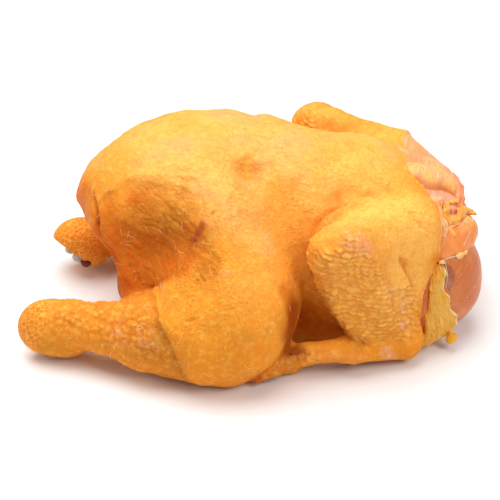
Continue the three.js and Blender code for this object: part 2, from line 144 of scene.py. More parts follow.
def plate(p, at, along, across, outline, half, rounding):
    q = p - at
    side = outline_distance(q @ along, q @ across, outline)
    face = np.abs(q @ np.cross(along, across)) - half
    outside = np.hypot(np.maximum(side, 0), np.maximum(face, 0))
    return outside + np.minimum(np.maximum(side, face), 0) - rounding


def hollow(p, at, size, depth):
    return depth * np.exp(-(length((p - vec(*at)) / vec(*size)) ** 2))


one_place = vec(0, 0, 12)[None]
print("12 mm above the middle of a ball of 10 mm:", lump(one_place, (0, 0, 0), (10, 10, 10)), "mm")

# %% [markdown]
# ## The carcass
#
# Back, rump, belly and two breast lobes make the trunk.  One stretched ball would look like an
# egg, so several are melted together.  Small hollows sit over the hips, beside the spine and in
# the flanks, where a real skin sinks between the bones.

# %% Trunk
HOLLOWS = [
    ((-6, 36, 110), (15, 13, 16), 6),
    ((8, 19, 122), (13, 8, 14), 2.5),
    ((-58, 60, 76), (26, 18, 18), 6),
]
REAR_FOLD = ((-88, 24, 104), (-94, 36, 82), (-84, 45, 54), (-66, 50, 34))
LEFT_FOLD_FORWARD = 8
BREAST_SIDE = ((2, 42, 24), (28, 46, 14), (64, 48, 15))  # flesh to the table, not in the solid
TAIL = ((-70, 0, 95), (-95, 0, 86), (-105, 0, 80))


def trunk(p):
    d = lump(p, (40, 0, 70), (96, 64, 58), (0, 8, 0))
    d = melt(d, lump(p, (-40, 0, 87), (73, 66, 46), (0, -2, 0)), 24)
    d = melt(d, lump(p, (-54, 0, 60), (38, 42, 46)), 18)
    for side in (RIGHT, LEFT):
        forward = vec(LEFT_FOLD_FORWARD if side == LEFT else 0, 0, 0)
        fold = [mirror(v, side) + forward for v in REAR_FOLD]
        d = melt(d, lump(p, (86, 27, 42), (62, 42, 44), (-4, 0, 0), side), 16)
        d = melt(d, lump(p, (-60, 42, 60), (32, 22, 42), (0, 10, 0), side), 12)
        d = melt(d, chain(p, fold, (9, 7, 6, 6), 6), 9)
        for at, size, depth in HOLLOWS:
            d = d + hollow(p, mirror(at, side), size, depth)
        d = melt(d, chain(p, [mirror(v, side) for v in BREAST_SIDE], (14, 15, 15), 6), 12)
    d = melt(d, lump(p, (44, 0, 24), (66, 10, 20)), 14)
    d = melt(d, chain(p, TAIL, (22, 14, 10), 6), 6)
    return trim(d, -lump(p, (-104, 0, 48), (26, 26, 30)), 8)


up_the_middle = np.zeros((150, 3), np.float32)
up_the_middle[:, 2] = np.arange(150)
print("height of the trunk in its middle:", int((trunk(up_the_middle) < 0).sum()), "mm")

# %% [markdown]
# ## Legs and wings
#
# A leg is a round thigh, a tapering drumstick and a knob for the hock, which ends in a flat cut.
# A wing is the upper arm, the flat forearm with its web of skin, and the hand that is tucked back
# along the thigh.  Tapered rods suit limbs better than balls do, since the bone sets the length
# and the muscle the width.  Each function returns its sections apart, because they get different
# skin.

# %% Legs
HIP_JOINT, KNEE, KNEE_BACK = (-20, 42, 80), (-8, 78, 44), (-28, 85, 34)
THIGH_FOOT = ((-54, 82, 19), (-14, 87, 20))
CALF_TOP = (-14, 85, 33)
BY_THE_HAND = ((24, 80, 4), (10.5, 9, 17))  # between thigh and hand, not in the solid
LEGS = {
    RIGHT: {
        "calf": (-66, 80, 28), "shin": (-92, 74, 27.5), "ankle": (-108, 70, 27.5),
        "hock": (-131, 65, 21.5), "hock_size": (20, 15.5, 19.5),
        "heel": (-118, 68, 22), "heel_size": (13, 13, 19),
        "cut": (-137.4, 53.6, 16.5), "cut_faces": (-0.45, -0.8, -0.35),
    },
    LEFT: {
        "calf": (-62, 72, 28), "shin": (-84, 57, 25), "ankle": (-97, 50, 24),
        "hock": (-116, 35, 21), "hock_size": (20, 15.5, 18.5),
        "heel": (-124, 35, 25), "heel_size": (12, 11, 8),
        "cut": (-124, 25, 18), "cut_faces": (-0.62, -0.5, -0.6),
    },
}


def leg(p, side):
    """Distances to the thigh and to the drumstick with its hock."""
    lower = LEGS[side]
    thigh = limb(p, mirror(HIP_JOINT, side), mirror(KNEE, side), 38, 38)
    thigh = melt(thigh, limb(p, mirror(KNEE, side), mirror(KNEE_BACK, side), 38, 33), 8)
    foot = [mirror(v, side) for v in THIGH_FOOT]
    thigh = melt(thigh, limb(p, foot[0], foot[1], 19, 23), 10)
    thigh = melt(thigh, lump(p, BY_THE_HAND[0], BY_THE_HAND[1], side=side), 6)
    route = [mirror(v, side) for v in (CALF_TOP, lower["calf"], lower["shin"], lower["ankle"])]
    shank = chain(p, route, (32, 23, 15.2, 14.4), 8)
    shank = melt(shank, lump(p, lower["hock"], lower["hock_size"], side=side), 10)
    return thigh, melt(shank, lump(p, lower["heel"], lower["heel_size"], side=side), 11)


def hock_cut(p, side):
    faces = unit(mirror(LEGS[side]["cut_faces"], side))
    return (p - mirror(LEGS[side]["cut"], side)) @ faces


for side, lower in LEGS.items():
    reach = length(vec(*lower["hock"]) - vec(*KNEE))
    print("from knee to hock:", np.round(reach), "mm on the", "right" if side == RIGHT else "left")

# %% Wings
SHOULDER, ELBOW, WRIST, WING_TIP = (100, 40, 82), (53, 80, 89), (99, 69, 15), (9, 97, 6)
KNUCKLES = ((67, 81, 16), (36, 86, 16))
HAND_RIDGE = (
    (74, 90, 16.5), (64, 89.5, 17), (54, 89, 17), (46, 90.5, 18), (37, 91.5, 18.5),
    (28, 91.5, 18.5), (20, 93.5, 16.5), (12, 97, 11.5), (5, 99.5, 6),
)
HAND_RIDGE_RADII = (2.2, 2.8, 2.8, 2.8, 2.8, 2.8, 2.6, 2.4, 2.0)
FOREARM_FACES = (0.08, 0.85, 0.52)
FOREARM = [
    (-9, -4), (-9, 3), (0, 10), (26, 17), (60, 18.5), (80, 9.5), (88, 1), (86, -5), (75, -14),
    (60, -21), (25, -25), (0, -20),
]
FOREARM_HALF, FOREARM_ROUND = 2.5, 6.5


def forearm_frame(side):
    """The elbow, and the directions along, across and through the forearm."""
    elbow = ELBOW if side == RIGHT else (ELBOW[0] - 7, ELBOW[1] + 4, ELBOW[2] - 2)
    elbow = mirror(elbow, side)
    along = unit(mirror(WRIST, side) - elbow)
    through = mirror(FOREARM_FACES, side)
    through = unit(through - along * (through @ along))
    across = np.cross(along, through)
    return elbow, along, -across if across[0] > 0 else across, through


def wing(p, side):
    """Distances to the upper arm, the forearm and the hand."""
    elbow, along, across, through = forearm_frame(side)
    shoulder = mirror(SHOULDER, side)
    arm = limb(p, shoulder, elbow, 25, 15)
    bones = limb(p, elbow - 4 * across, elbow + 80 * along - 2 * across, 14, 12)
    web = plate(p, elbow - 2 * through, along, across, FOREARM, FOREARM_HALF, FOREARM_ROUND)
    first, second = (mirror(v, side) for v in KNUCKLES)
    hand = limb(p, mirror(WRIST, side), first, 14, 8.4)
    hand = melt(hand, limb(p, first, second, 8.4, 6.6), 6)
    hand = melt(hand, limb(p, second, mirror(WING_TIP, side), 6.6, 3), 5)
    ridge = chain(p, [mirror(v, side) for v in HAND_RIDGE], HAND_RIDGE_RADII, 2)
    hand = melt(hand, ridge, 1.5)
    return arm, melt(bones, web, 7), hand


print("from elbow to wrist:", np.round(length(vec(*WRIST) - vec(*ELBOW))), "mm")

# %% [markdown]
# ## Meat and the cut edge of the skin
#
# At the neck the skin has been cut away.  Under it lie the two breast muscles, rolls of meat on
# the shoulders and the stump of the neck.  A Solidify modifier could make skin thick, but not cut
# it raggedly.  Here the meat is the trunk again, one skin's thickness further in, and the skin
# ends past an uneven line around the neck.

# %% Meat and skin
SKIN_THICK = 3.0
MEAT_FROM = 88  # further back the skin hides all of the meat
NECK = ((100, -4, 88), (124, -6, 79))
MUSCLES = [  # place, size, turn
    ((126, -16, 82), (14, 10, 9), (20, 30, 0)), ((137, -22, 68), (12, 12, 12), (0, 0, 0)),
]
SHOULDER_MEAT = ((98, 14, 95), (119, 14, 89), (130, 10, 83))
NECK_HOLLOWS = [((131, -24, 85), (8, 8, 8), 4.5), ((113, -2, 102), (12, 10, 9), 4)]
CUT_HEIGHT = 60
CUT = [
    (-180, 112), (-90, 116), (-30, 110), (-6, 113), (6, 122), (27, 121), (53, 121), (64, 116),
    (80, 103), (126, 103.5), (150, 112), (180, 112),
]


def meat_form(p):
    d = lump(p, (106, -8, 62), (40, 42, 32))
    for side in (RIGHT, LEFT):
        d = melt(d, lump(p, (94, 30, 40), (60, 38, 42), (-7, 0, 0), side), 8)
        d = melt(d, lump(p, (96, 32, 27), (57, 37, 31), (-8, 0, 0), side), 8)
    d = melt(d, limb(p, (100, 37, 84), (126, 27, 76), 22, 13), 7)
    d = melt(d, limb(p, (96, -40, 82), (103, -40, 81), 22, 20.5), 5)
    d = melt(d, chain(p, SHOULDER_MEAT, (14, 10, 9), 6), 4)
    d = melt(d, limb(p, NECK[0], NECK[1], 19, 11), 6)
    for at, size, turn in MUSCLES:
        d = melt(d, lump(p, at, size, turn), 2.5)
    for at, size, depth in NECK_HOLLOWS:
        d = d + hollow(p, at, size, depth)
    under_skin = 0.5 * np.maximum(0, 2 - cut_distance(p)) * (1 - 0.9 * ramp(p[:, 2], 66, 90))
    d = melt(trunk(p) + SKIN_THICK, d + under_skin, 6)
    return trim(trim(d, -p[:, 2], 3), MEAT_FROM - p[:, 0], 2)


def cut_distance(p):
    """How far a point lies past the cut edge of the skin, towards the neck."""
    angle = np.degrees(np.arctan2(p[:, 2] - CUT_HEIGHT, -p[:, 1]))
    angles, places = zip(*CUT)
    ragged = 1.2 * smooth_noise(p, 9, 31) + 0.6 * smooth_noise(p, 3.5, 32)
    return p[:, 0] - np.interp(angle, angles, places).astype(np.float32) - ragged


def wing_spared(p):
    """Low down, the folded wing keeps this much more skin than the breast beside it."""
    return 12 * (1 - ramp(p[:, 2], 56, 74))


def skin_form(p):
    d = trunk(p)
    for side in (RIGHT, LEFT):
        thigh, shank = leg(p, side)
        d = melt(d, trim(melt(thigh, shank, 3), hock_cut(p, side), 2), 11)
    arms = [wing(p, side) for side in (RIGHT, LEFT)]
    arms = [melt(melt(arm, forearm, 6), hand, 4) for arm, forearm, hand in arms]
    cut = cut_distance(p)
    d = trim(d, cut, 1.0)
    d = melt(d, trim(np.minimum(*arms), cut - wing_spared(p), 1.0), 6)
    return trim(d, -p[:, 2], 3)


print("corners of the cut edge:", len(CUT), "and muscles at the neck:", len(MUSCLES))

# %% [markdown]
# ## Noise
#
# Skin is never even.  Two kinds of unevenness are worked out at a point: smooth noise for
# swellings and patches, and cells for pebbles.  A Displace modifier could move the points by a
# noise texture, but the colours wouldn't know where.  Worked out here, one noise can do both.
# All of it is seeded, so that every run gives the same bird.


# %% Noise helpers
def scatter(cell, seed):
    """Three random numbers from 0 to 1 for each whole-numbered cell."""
    x, y, z = (cell[..., i].astype(np.int64) for i in range(3))
    mixed = (x * 73856093) ^ (y * 19349663) ^ (z * 83492791) ^ (seed * 2654435761)
    numbers = []
    for turn in range(3):
        mixed = (mixed ^ (mixed >> 13)) * 1274126177 & 0x7FFFFFFF
        mixed = mixed ^ (mixed >> 16)
        numbers.append((mixed & 0xFFFF).astype(np.float32) / 65535)
    return np.stack(numbers, -1)


def smooth_noise(p, size, seed):
    """Soft bumps about size millimetres across, from -1 to 1."""
    q = p / size
    cell = np.floor(q)
    f = q - cell
    f = f * f * f * (f * (f * 6 - 15) + 10)
    total = np.zeros(len(p), np.float32)
    for corner in np.ndindex(2, 2, 2):
        weight = np.prod(np.where(corner, f, 1 - f), axis=-1)
        total += weight * scatter(cell + corner, seed)[:, 0]
    return 2 * total - 1


def cells(p, size, seed):
    """Distance to the nearest and to the second nearest of scattered points, over size."""
    q = p / size
    cell = np.floor(q)
    first = np.full(len(p), 9, np.float32)
    second = first.copy()
    for step in np.ndindex(3, 3, 3):
        corner = cell + np.array(step) - 1
        away = length(corner + 0.15 + 0.7 * scatter(corner, seed) - q)
        second = np.minimum(second, np.maximum(first, away))
        first = np.minimum(first, away)
    return first, second


def ramp(value, low, high):
    """0 below low, 1 above high and smooth between."""
    t = np.clip((value - low) / (high - low), 0, 1)
    return t * t * (3 - 2 * t)


print("noise at three places:", np.round(smooth_noise(7.3 * np.eye(3, dtype=np.float32), 5, 1), 2))

# %% [markdown]
# ## From distance to mesh
#
# The distance is sampled on a grid, only near the surface.  Each grid cell that the surface
# crosses gets one point, and points of neighbouring cells are joined by quads.  Where the skin
# has small relief, each quad is cut in four, and its neighbours take in the new corners, so that
# nothing gapes.  The points are then moved onto the exact surface.  A form that reaches out of its
# box would be left open, so that is refused.

# %% Surface on a grid
BLOCK = 4


def sample(field, low, size, count):
    """Values of the field on a grid, worked out in blocks near the surface only."""
    blocks = (count - 1) // BLOCK
    coarse = np.indices(blocks + 1).reshape(3, -1).T
    value = field((low + coarse * BLOCK * size).astype(np.float32)).reshape(blocks + 1)
    near = np.abs(value) < 1.9 * BLOCK * size
    active = np.zeros(blocks, bool)
    for step in np.ndindex(2, 2, 2):
        active |= near[tuple(slice(s, s + n) for s, n in zip(step, blocks))]
    grid = value[:-1, :-1, :-1].repeat(BLOCK, 0).repeat(BLOCK, 1).repeat(BLOCK, 2)
    grid = np.pad(grid, ((0, 1), (0, 1), (0, 1)), mode="edge")
    grid = np.where(grid < 0, -9, 9).astype(np.float32)
    inside = np.indices((BLOCK + 1,) * 3).reshape(3, -1).T
    wanted = (np.argwhere(active)[:, None] * BLOCK + inside).reshape(-1, 3)
    flat = np.unique(np.ravel_multi_index(wanted.T, grid.shape))
    places = np.stack(np.unravel_index(flat, grid.shape), -1)
    for part in np.array_split(np.arange(len(flat)), max(1, len(flat) // 200000)):
        grid.ravel()[flat[part]] = field((low + places[part] * size).astype(np.float32))
    return grid


def surface(field, low, high, size):
    """Points and quads of the surface where the field is zero."""
    low = np.array(low, float)
    count = np.ceil((np.array(high) - low) / (size * BLOCK)).astype(int) * BLOCK + 1
    grid = sample(field, low, size, count)
    inside = grid < 0
    if inside.sum() > inside[1:-1, 1:-1, 1:-1].sum():
        raise ValueError("the form reaches out of its box")
    corners = list(np.ndindex(2, 2, 2))
    spans = [tuple(slice(s, s + n - 1) for s, n in zip(c, count)) for c in corners]
    full = sum(inside[span].astype(np.int8) for span in spans)
    crossed = np.argwhere((full > 0) & (full < 8))
    number = np.full(count - 1, -1)
    number[tuple(crossed.T)] = np.arange(len(crossed))
    value = [grid[tuple((crossed + c).T)] for c in corners]
    total = np.zeros((len(crossed), 3))
    hits = np.zeros(len(crossed))
    for a, b in ((a, b) for a in range(8) for b in range(a + 1, 8)):
        if sum(x != y for x, y in zip(corners[a], corners[b])) > 1:
            continue
        cross = (value[a] < 0) != (value[b] < 0)
        t = np.where(cross, value[a] / np.where(cross, value[a] - value[b], 1), 0)
        start, end = np.array(corners[a]), np.array(corners[b])
        total += np.where(cross[:, None], start + t[:, None] * (end - start), 0)
        hits += cross
    points = low + size * (crossed + total / hits[:, None])
    quads = []
    for axis, (one, two) in enumerate(((1, 2), (2, 0), (0, 1))):
        ahead = tuple(slice(1, None) if i == axis else slice(None) for i in range(3))
        behind = tuple(slice(0, -1) if i == axis else slice(None) for i in range(3))
        edges = np.argwhere(inside[behind] != inside[ahead])
        leaving = inside[tuple(edges.T)]
        u, v = np.eye(3, dtype=int)[[one, two]]
        ring = np.stack([number[tuple((edges - s).T)] for s in (u + v, v, 0 * u, u)], -1)
        quads.append(np.where(leaving[:, None], ring, ring[:, ::-1]))
    return points, np.concatenate(quads)


def cut_in_four(points, quads, chosen):
    """Polygons with the chosen quads cut in four and their neighbours' edges divided."""
    count = len(points)
    after = np.roll(quads, -1, axis=1)
    edge = np.minimum(quads, after) * count + np.maximum(quads, after)
    divided = np.unique(edge[chosen])
    middles = (points[divided // count] + points[divided % count]) / 2
    centres = points[quads[chosen]].mean(axis=1)
    found = np.clip(np.searchsorted(divided, edge), 0, len(divided) - 1)
    has_middle = divided[found] == edge
    middle = count + found
    centre = count + len(divided) + np.arange(chosen.sum())
    polygons = []
    for i in range(4):
        small = (quads[chosen, i], middle[chosen, i], centre, middle[chosen, i - 1])
        polygons.append(np.stack(small, -1))
    plain = ~chosen & ~has_middle.any(axis=1)
    polygons.append(quads[plain])
    faces = np.concatenate(polygons).tolist()
    for n in np.flatnonzero(~chosen & has_middle.any(axis=1)):
        face = []
        for i in range(4):
            face.append(int(quads[n, i]))
            if has_middle[n, i]:
                face.append(int(middle[n, i]))
        faces.append(face)
    return np.concatenate([points, middles, centres]), faces


def slope(field, points, step=0.4):
    """Value and gradient of the field at points."""
    value = field(points.astype(np.float32)).astype(float)
    ahead = [field((points + step * axis).astype(np.float32)) for axis in np.eye(3)]
    return value, (np.stack(ahead, -1) - value[:, None]) / step


def settle(field, points, passes=2):
    """Move points onto the surface, and return them with the directions that face out."""
    for _ in range(passes):
        value, grad = slope(field, points)
        steep = (grad * grad).sum(1, keepdims=True) + 1e-6
        points = points - np.clip(value[:, None] * grad / steep, -1, 1)
    grad = slope(field, points)[1]
    return points, grad / (length(grad)[:, None] + 1e-9)


def add_mesh(name, points, faces, masks=None):
    """A smooth shaded mesh from points in millimetres, with masks as point attributes."""
    mesh = bpy.data.meshes.new(name)
    mesh.from_pydata((np.asarray(points) * MM).tolist(), [], faces)
    mesh.shade_smooth()
    for label, values in (masks or {}).items():
        layer = mesh.attributes.new(label, "FLOAT", "POINT")
        layer.data.foreach_set("value", np.ascontiguousarray(values, np.float32))
    piece = bpy.data.objects.new(name, mesh)
    bpy.context.scene.collection.objects.link(piece)
    triangles = sum(len(face) - 2 for face in faces)
    print(f"{name}: {len(points)} points, {triangles} triangles")
    return piece


def ball(p):
    return length(p) - 10


print("points on a ball of 10 mm:", len(surface(ball, (-13, -13, -13), (13, 13, 13), 2)[0]))


# %% Attach a piece
def hand_in(piece):
    """Every piece lies still with the bird and takes the solid's place."""
    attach(piece, "root")
    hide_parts("chicken")


# %% [markdown]
# ## Where each kind of skin lies
#
# The skin is one mesh, so the scales, pebbles and colours are steered by masks from 0 to 1.
# Masks could be painted by hand, but would then be lost at each change of the form.  These are
# found from the same distances as the form: a point belongs to the section it is nearest to.


# %% Sections of the skin
BOTH = (RIGHT, LEFT)
ANKLE_X = {RIGHT: -108, LEFT: -97}
SCALES_START = {RIGHT: 25, LEFT: 4}


def on_side(p, values):
    return np.where(p[:, 1] < 0, values[RIGHT], values[LEFT])


ROWS_FROM = ((-20, 0, 20, 45, 60), (-9, -15, -16, -14, -32))


def rows_begin(p, side):
    """The rows of follicles begin along a slanting line below the elbow."""
    elbow, along, across, through = forearm_frame(side)
    a, b = (p - elbow) @ along, (p - elbow) @ across
    uneven = 2 * smooth_noise(p, 8, 6)
    leading = np.interp(a, ROWS_FROM[0], ROWS_FROM[1]).astype(np.float32)
    return ramp(a + 13 + uneven, -4, 4) * ramp(b - leading + uneven, -3, 3)


def skin_masks(p):
    m = {}
    body = trunk(p)
    legs = {side: leg(p, side) for side in (RIGHT, LEFT)}
    wings = {side: wing(p, side) for side in (RIGHT, LEFT)}
    thigh, shank = (np.minimum(legs[RIGHT][i], legs[LEFT][i]) for i in (0, 1))
    arm, forearm, hand = (np.minimum(wings[RIGHT][i], wings[LEFT][i]) for i in (0, 1, 2))
    others = np.minimum.reduce([body, hand + 2, thigh])
    m["forearm"] = ramp(others - forearm, -1, 5) * on_side(p, {s: rows_begin(p, s) for s in BOTH})
    m["hand"] = ramp(np.minimum(np.minimum(forearm, body), thigh) - hand, -1, 3)
    ridges = [chain(p, [mirror(v, s) for v in HAND_RIDGE], HAND_RIDGE_RADII, 2) for s in BOTH]
    m["ridge"] = ramp(-np.minimum(*ridges), -1.6, -0.2)
    m["wing"] = ramp(body - np.minimum(np.minimum(arm, forearm), hand), -1, 1)
    m["thigh"] = ramp(np.minimum(body, shank) - thigh, -4, 6)
    m["shank"] = ramp(np.minimum(body, thigh) - shank, -2, 5)
    beyond = on_side(p, ANKLE_X) - p[:, 0]
    m["hock"] = ramp(beyond, 2, 12) * ramp(-shank, -12, -4)
    uneven = 4 * smooth_noise(p, 11, 5) + 0.35 * (p[:, 2] - 16)
    m["scales"] = m["hock"] * ramp(beyond - on_side(p, SCALES_START) + uneven, 0, 6)
    m["heel"] = m["hock"] * (1 - m["scales"]) * ramp(-p[:, 2], -29, -19)
    return m


print("masks of the sections:", ", ".join(skin_masks(one_place)))

# %% [markdown]
# ## Folds and creases
#
# A fold is a line that runs over the skin.  The skin sinks along it, or swells up into a ridge,
# by a depth that fades with the distance from the line.  A line with a name, a height and a width
# is easier to move than a sculpted stroke.  Every line is laid onto the surface before it's used.

# %% Lines on the skin
FOLDS = [  # name, sides, line, height, width
    ("beside the tail", BOTH, ((-103, 29, 104), (-100, 36, 98), (-98, 41, 93), (-98, 44, 87),
     (-96, 46, 80)), -4.4, 1.8),
    ("lip beside the tail", BOTH, ((-95, 38, 103), (-93, 43, 96), (-92, 47, 88), (-88, 51, 74),
     (-80, 57, 58), (-74, 62, 51)), 2.0, 3.6),
    ("over the hip", BOTH, ((-95, 38, 102), (-87, 37, 110), (-77, 37, 117), (-63, 41, 119),
     (-46, 47, 119), (-32, 54, 117)), 2.4, 3.8),
    ("on the tail", BOTH, ((-108, 22, 96), (-106, 30, 90), (-104, 36, 84)), -0.9, 1.4),
    ("before the forearm", BOTH, ((91, 72, 86), (94, 70, 78), (97, 66, 70), (100, 66, 63),
     (103, 67, 57), (110, 67, 52)), -2.3, 2.3),
    ("above the wing", BOTH, ((38, 60, 88), (43, 57, 96), (46, 55, 99), (51, 52, 102),
     (60, 48, 105)), -1.8, 1.7),
    ("dip of that crease", BOTH, ((95, 72, 84), (98, 67, 72), (102, 67, 60)), -0.8, 4.0),
    ("swell beside the crease", BOTH, ((92, 77, 80), (95, 74, 68), (97, 75, 56)), 1.0, 3.0),
    ("tendon of the forearm", BOTH, ((81, 80, 88), (85, 78, 76), (88, 78, 66), (89, 80, 54),
     (93, 82, 42), (97, 81, 31)), -1.5, 1.5),
    ("before the neck", BOTH, ((97, 52, 106), (101, 55, 103), (104, 58, 100), (107, 60, 96),
     (111, 60, 92)), -1.6, 1.5),
    ("over the shoulder", BOTH, ((62, 46, 108), (78, 42, 109), (90, 50, 105), (92, 64, 100)),
     -1.2, 2.6),
    ("above the hand", BOTH, ((5, 102, 11), (10, 101, 14), (14, 99, 16), (19, 97, 19.5),
     (24, 94, 22), (29, 91, 23), (36, 89, 23)), -2.2, 1.3),
    ("edge of the flank", BOTH, ((-96, 44, 76), (-92, 46, 70), (-88, 49, 62), (-83, 54, 54),
     (-76, 63, 46)), 2.0, 1.8),
    ("across the knee", (RIGHT,), ((-42, 106, 54), (-36, 107, 58), (-30, 107, 61)), -1.3, 1.1),
    ("edge of the hip", (RIGHT,), ((-79, 38, 117), (-69, 37, 121), (-60, 40, 122),
     (-49, 42, 122), (-38, 43, 122), (-30, 46, 121)), 1.6, 2.2),
    ("thigh edge", BOTH, ((-20, 83, 93), (-15, 91, 85), (-12, 101, 77), (-10, 113, 63)), 0.8,
     3.0),
    ("beside the spine", (LEFT,), ((-10, 38, 121), (8, 38, 120), (26, 37, 118)), 3.2, 11.0),
    ("tendon", BOTH, ((-70, 96, 50), (-55, 100, 52), (-40, 104, 54)), 0.9, 4.0),
    ("hock fold", BOTH, ((-124, 77, 37), (-115, 82, 36), (-106, 86, 30)), -1.2, 2.8),
    ("hock tendon", BOTH, ((-112, 84, 24), (-98, 86, 28), (-84, 92, 34)), 0.9, 3.0),
    ("wrist fold", BOTH, ((65, 89, 31), (72, 88, 25), (79, 87, 19)), -1.6, 1.2),
    ("second wrist fold", BOTH, ((67, 88, 32), (75, 87, 27), (84, 85, 22)), -1.2, 1.1),
    ("third wrist fold", BOTH, ((64, 88, 25), (69, 90, 20), (74, 90, 17)), -1.2, 1.1),
]


SAGS = [  # places where the skin sinks in on both sides, seen on the right: place, reach, depth
    ((-62, -61, 86), (25, 16, 19), 4.6), ((-38, -72, 90), (17, 13, 15), 3.2),
    ((-84, -50, 70), (12, 14, 22), 1.8), ((28, -44, 116), (12, 9, 9), 1.4),
    ((-90, -44, 55), (13, 14, 14), 7.5), ((-98, -30, 54), (12, 20, 16), 2.0),
    ((-100, -44, 54), (16, 12, 16), 1.2), ((60, -40, 112), (14, 7, 8), 1.2),
    ((-20, -92, 64), (12, 12, 12), 1.0), ((27, -67, 58), (13, 13, 22), -4.5),
    ((-47, -83, 66), (14, 13, 13), -5.5), ((-60, -80, 57), (12, 10, 10), -2.5),
    ((-56, -65, 60), (11, 11, 11), -8.0), ((33, -90, 46), (9, 14, 17), 3.4),
    ((29, -99, 34), (9, 12, 11), 3.0),
]


DIMPLES = [
    ((0, -34, 121), (10, 8, 9), 2.2), ((-6, -50, 117), (8, 8, 7), 1.4),
    ((-98, 18, 106), (18, 18, 16), 2.6), ((-84, 32, 111), (16, 13, 14), 3.4),
    ((-95, 41, 102), (9, 10, 10), 3.5), ((-64, 39, 120), (22, 14, 14), 2.2),
    ((50, 30, 119), (23, 24, 20), 6.5),
]


def folded_side(p):
    """Every point moved to the right side, for things that are the same on both."""
    return np.stack([p[:, 0], -np.abs(p[:, 1]), p[:, 2]], -1)


def sags(p):
    """Depth of the hollows in millimetres."""
    q = folded_side(p)
    both = sum(hollow(q, at, size, depth) for at, size, depth in SAGS)
    return both + sum(hollow(p, at, size, depth) for at, size, depth in DIMPLES)


def line_distance(p, line, fade=0.0):
    """Distance to a line, larger by the fade at its two ends, so that a fold dies away there."""
    return chain(p, line, [-fade] + [0] * (len(line) - 2) + [-fade], 0.1)


def lay(form, line, passes=6):
    """The points of a line moved onto the surface of a form."""
    return settle(form, np.array(line, float), passes)[0].astype(np.float32)


LAID_FOLDS = []
for _, sides, line, height, width in FOLDS:
    for side in sides:
        LAID_FOLDS.append((lay(skin_form, [mirror(v, side) for v in line]), height, width))


def folds(p):
    """Height of all the folds, in millimetres."""
    total = np.zeros(len(p), np.float32)
    for line, height, width in LAID_FOLDS:
        away = line_distance(p, line, 1.2 * width)
        total += height * np.exp(-((away / width) ** 2))
    return total


print("folds laid on the skin:", len(LAID_FOLDS))

# %% [markdown]
# ## Small relief
#
# Four kinds of small relief make this skin: the follicle rows of the forearm, which overlap like
# tiles; the pebbles of the drumstick; the scalloped edge of the hand; and the step where the skin
# of the thigh has slid over the drumstick like a stocking.  They move the points of the mesh,
# because a bump in the material would leave the outline smooth.

# %% Relief of the skin
ROW_STEP, ALONG_ROW = 3.3, 5.6  # millimetres between follicle rows, and along them
ROW_SLANT = math.radians(43)  # between the rows and the forearm
STOCKING = 51


def follicle_rows(p, side):
    """Overlapping lobes in rows, each high at its lower edge and low above it."""
    elbow, along, across, through = forearm_frame(side)
    a, b = (p - elbow) @ along, (p - elbow) @ across
    bend = 3.0 * smooth_noise(p, 20, 11) + 1.1 * smooth_noise(p, 6, 12)
    bend = bend + 0.5 * smooth_noise(p, 3, 18)
    down = a * math.sin(ROW_SLANT) + b * math.cos(ROW_SLANT) + bend
    sideways = a * math.cos(ROW_SLANT) - b * math.sin(ROW_SLANT) + 1.6 * smooth_noise(p, 5, 14)
    best = np.zeros(len(p), np.float32)
    for step in (0, 1):
        number = np.floor(down / ROW_STEP) - step
        start = scatter(np.stack([number, 0 * number, 0 * number], -1), 13)[:, 0]
        place = sideways / ALONG_ROW + start
        column = np.floor(place)
        luck = scatter(np.stack([number, column, 0 * number], -1), 17)
        across_lobe = (place - column - 0.5) * 2
        length_of_lobe = 0.95 + 0.45 * luck[:, 0]
        tip = length_of_lobe * np.sqrt(np.maximum(0, 1 - 0.45 * across_lobe**2))
        reach = (down / ROW_STEP - number) / np.maximum(tip, 0.2)
        rise = ramp(reach, -0.2, 0.75) * (1 - ramp(reach, 0.82, 1.0))
        lobe = rise * (0.45 + 0.55 * luck[:, 1]) * (1 - 0.4 * across_lobe**2)
        best = np.maximum(best, lobe)
    return best


def edge_teeth(p, outward, side):
    """Follicles that stand out along the trailing edge of the forearm."""
    elbow, along, across, through = forearm_frame(side)
    a = (p - elbow) @ along + 0.8 * smooth_noise(p, 8, 14)
    facing = ramp(outward @ across, 0.55, 0.9) * ramp(a, 2, 8) * (1 - ramp(a, 74, 82))
    tooth = np.maximum(0, np.cos(2 * math.pi * a / 5.2)) ** 3
    return facing * tooth


def past_stocking(p):
    """How far a point lies past the edge where the skin of the thigh ends over the drumstick."""
    wave = 1.6 * smooth_noise(p, 12, 15) + 0.7 * smooth_noise(p, 4, 16)
    return -p[:, 0] + 0.183 * np.abs(p[:, 1]) - 0.435 * p[:, 2] - STOCKING + wave


def stocking(p):
    """A step: high before the edge and low past it."""
    past = past_stocking(p)
    on_leg = ramp(np.abs(p[:, 1]), 58, 68)
    lip = ramp(-past, 0, 1.6) * np.exp(np.minimum(past, 0) / 13)
    groove = np.exp(-((past - 1.0) / 2.2) ** 2)
    on_leg = on_leg * (0.25 + 0.75 * ramp(p[:, 2], 10, 34))
    return on_leg * (1.9 * lip - 0.9 * groove)


FLANK_GRAIN = unit(vec(0.78, -0.55, -0.31))


def flank(p):
    """1 in the hollow between hip and thigh, where the skin hangs in fine wrinkles."""
    q = folded_side(p)
    thigh_side = hollow(q, (-26, -88, 85), (11, 16, 17), 0.6)
    return ramp(hollow(q, (-58, -62, 86), (32, 26, 32), 1.0) + thigh_side, 0.25, 0.6)


